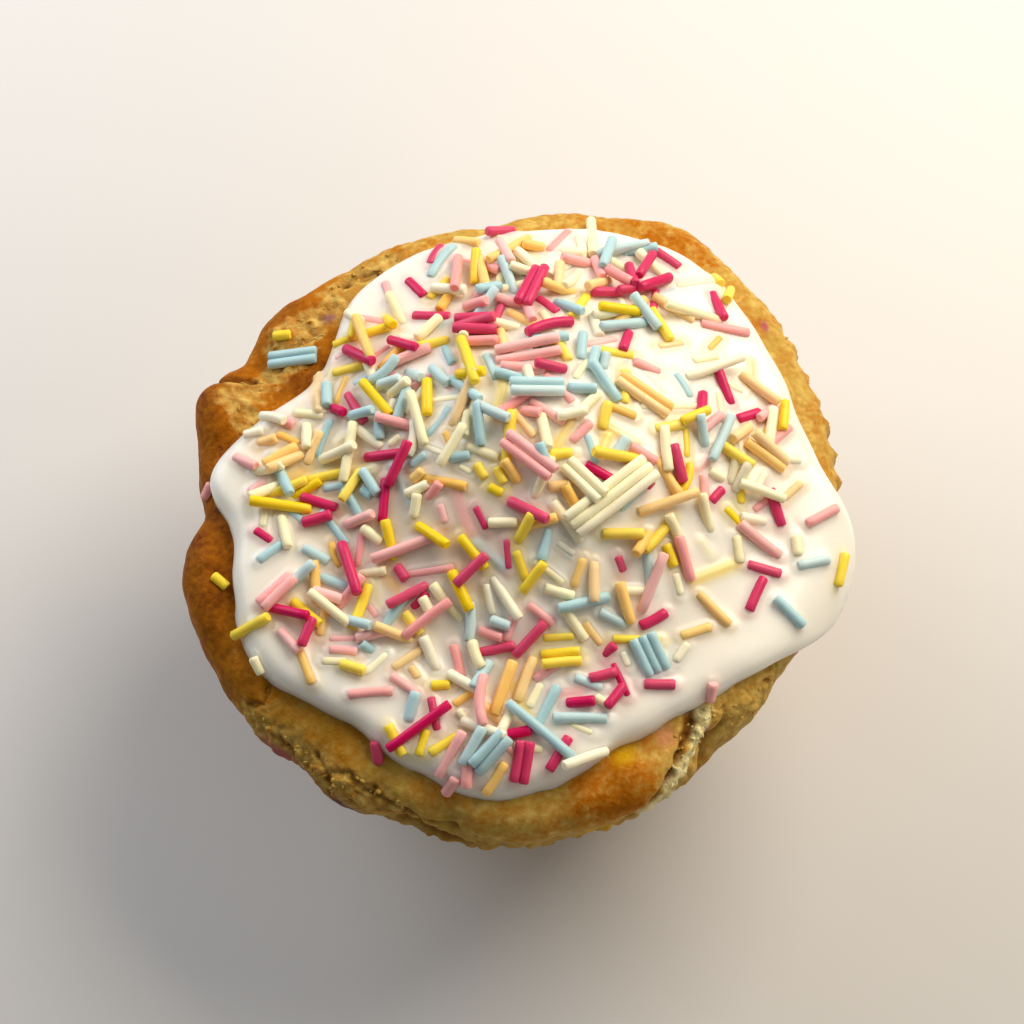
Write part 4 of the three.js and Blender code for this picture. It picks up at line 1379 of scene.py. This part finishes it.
def sugar_glaze():
    """Set icing: white, soft gloss, and light goes about a millimetre into it before it comes back."""
    material, tree = new_material("sugar glaze")
    # Grey where the icing is thin, and painted shade there as well.
    body = mixed(tree, kept(tree, "thin").outputs["Fac"], linear(ICING_WHITE), linear(ICING_THIN_AND_SHADED))
    surfaced(tree, {
        "Base Color": laid_over(tree, body, kept(tree, "dye")),
        "Roughness": 0.28,
        "IOR": 1.48,
        "Subsurface Weight": 0.7,
        "Subsurface Radius": (1.0, 0.9, 0.75),
        "Subsurface Scale": 1.8 * MM,
        # The skin of set icing dries a little uneven, at about 1.5 mm, which breaks up its shine.
        "Normal": grained(tree, pattern(tree, 1.5), 0.12, 0.1),
    })
    return material


icing.data.materials.append(sugar_glaze())
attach(icing, "root")
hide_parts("icing")
print("icing finished with", icing.data.materials[0].name)

# %% [markdown]
# ## The sugar strands
# Each is a stick of sugar paste, matt with a soft gloss, snapped off blunt. Geometry Nodes sweep a round
# profile along every axis: the tree is built once, and its inputs are the sides, the radius and the finish.
# The axes carry two numbers, the width at each point, which rounds the ends, and a shade that differs from
# stick to stick.

# %% A tree that sweeps sticks along lines
STRAND_SIDES = 10
END_ROUND, END_WIDTH = 0.16, 0.78  # length of the taper at a stick's end, and its width there


def strand_tree():
    tree, given = new_tree("swept sticks", Sides="Int", Radius="Float", Finish="Material")
    line = add(tree, "GeometryNodeMeshToCurve", {0: given["Geometry"]}).outputs[0]
    circle = {0: given["Sides"], 4: given["Radius"]}
    profile = add(tree, "GeometryNodeCurvePrimitiveCircle", circle).outputs[0]
    width = add(tree, "GeometryNodeInputNamedAttribute", {0: "width"}, data_type="FLOAT").outputs[0]
    stick = add(tree, "GeometryNodeCurveToMesh", {0: line, 1: profile, 2: width, 3: True})
    return end_tree(tree, stick.outputs[0], given["Finish"])


def lines_object(name, lines):
    """A mesh of loose lines. Each is its points in millimetres, the width at each, one shade and one veil."""
    points, edges, widths, shades, veils = [], [], [], [], []
    for line, line_widths, shade, veil in lines:
        edges += [(len(points) + k, len(points) + k + 1) for k in range(len(line) - 1)]
        points += [tuple(p) for p in np.asarray(line) * MM]
        widths += list(line_widths)
        shades += [shade] * len(line)
        veils += [veil] * len(line)
    mesh = bpy.data.meshes.new(name)
    mesh.from_pydata(points, edges, [])
    piece = placed(name, mesh)
    for title, values in [("width", widths), ("shade", shades), ("veil", veils)]:
        store(piece, title, values)
    return piece


def stick_line(axis, radius, shade, veil):
    """Points along a stick: a short taper at each end and bends between, with the width at each point."""
    axis = np.asarray(axis)
    steps = np.linalg.norm(np.diff(axis, axis=0), axis=1)
    run = np.concatenate([[0], np.cumsum(steps)])
    stops = np.array([0, END_ROUND, *np.linspace(0, run[-1], 6)[1:-1], run[-1] - END_ROUND, run[-1]])
    line = np.stack([np.interp(stops, run, axis[:, k]) for k in range(3)], -1)
    widths = np.full(len(stops), radius / STRAND_RADIUS)
    widths[[0, -1]] *= END_WIDTH
    return line, widths, shade, veil

# %% Sugar paste in six colours
def sugar_paste(name, colour):
    """Pressed sugar: dense, with a satin shine, a little light let in, and colour that varies by stick."""
    material, tree = new_material("sugar paste " + name)

    def toned(saturation, value):
        inputs = {"Saturation": saturation, "Value": value, "Color": linear(colour)}
        return add(tree, "ShaderNodeHueSaturation", inputs).outputs[0]

    base = mixed(tree, kept(tree, "shade").outputs["Fac"], toned(1.04, 0.93), toned(0.92, 1.05))
    base = mixed(tree, kept(tree, "veil").outputs["Fac"], base, linear(ICING_WHITE))
    surfaced(tree, {
        "Base Color": base,
        "Roughness": 0.34,
        "Specular IOR Level": 0.25,
        "Subsurface Weight": 0.5,
        "Subsurface Radius": (1.0, 0.8, 0.7),
        "Subsurface Scale": 0.6 * MM,
        # Dust and drag marks of the die, about 0.4 mm apart.
        "Normal": grained(tree, pattern(tree, 0.4, 2.0), 0.15, 0.05),
    })
    return material


# On the bare crust: x, y, turn, length and how many side by side.
CRUST_STRANDS = {
    "blue": [(-27.4, 18.6, 0, 6, 2)],
    "yellow": [(-28.8, 21.6, 0, 2.2), (-34.6, -10.6, 140, 2.2)],
    "pink": [(-36.8, 1.2, 60, 1.8)],
}
CRUST_LIFT = 0.15


def crust_lines(colour):
    for row in CRUST_STRANDS.get(colour, []):
        for strand in spread_bundle(*row):
            places, normals = above(*points_along(*strand, AXIS_SHARES), crag_height)
            axis = straight(places[0], places[4])
            axis += (places[2] - places[[0, 4]].mean(0)) / 2 + normals[2] * CRUST_LIFT
            yield stick_line(axis, STRAND_RADIUS, shade=0.5, veil=0.0)


sweep = strand_tree()
for colour, hex_code in STRAND_COLOURS.items():
    mine = [strand for strand in strands if strand["colour"] == colour]
    lines = [stick_line(*(strand[key] for key in ("axis", "radius", "shade", "veil"))) for strand in mine]
    lines += crust_lines(colour)
    piece = lines_object("strands_" + colour, lines)
    finish = sugar_paste(colour, hex_code)
    worked_in(piece, sweep, Sides=STRAND_SIDES, Radius=STRAND_RADIUS * MM, Finish=finish)
    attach(piece, "root")
    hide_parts("icing", *(["sponge"] if colour in CRUST_STRANDS else []))
    print(len(lines), colour, "strands,", len(piece.data.polygons), "faces")
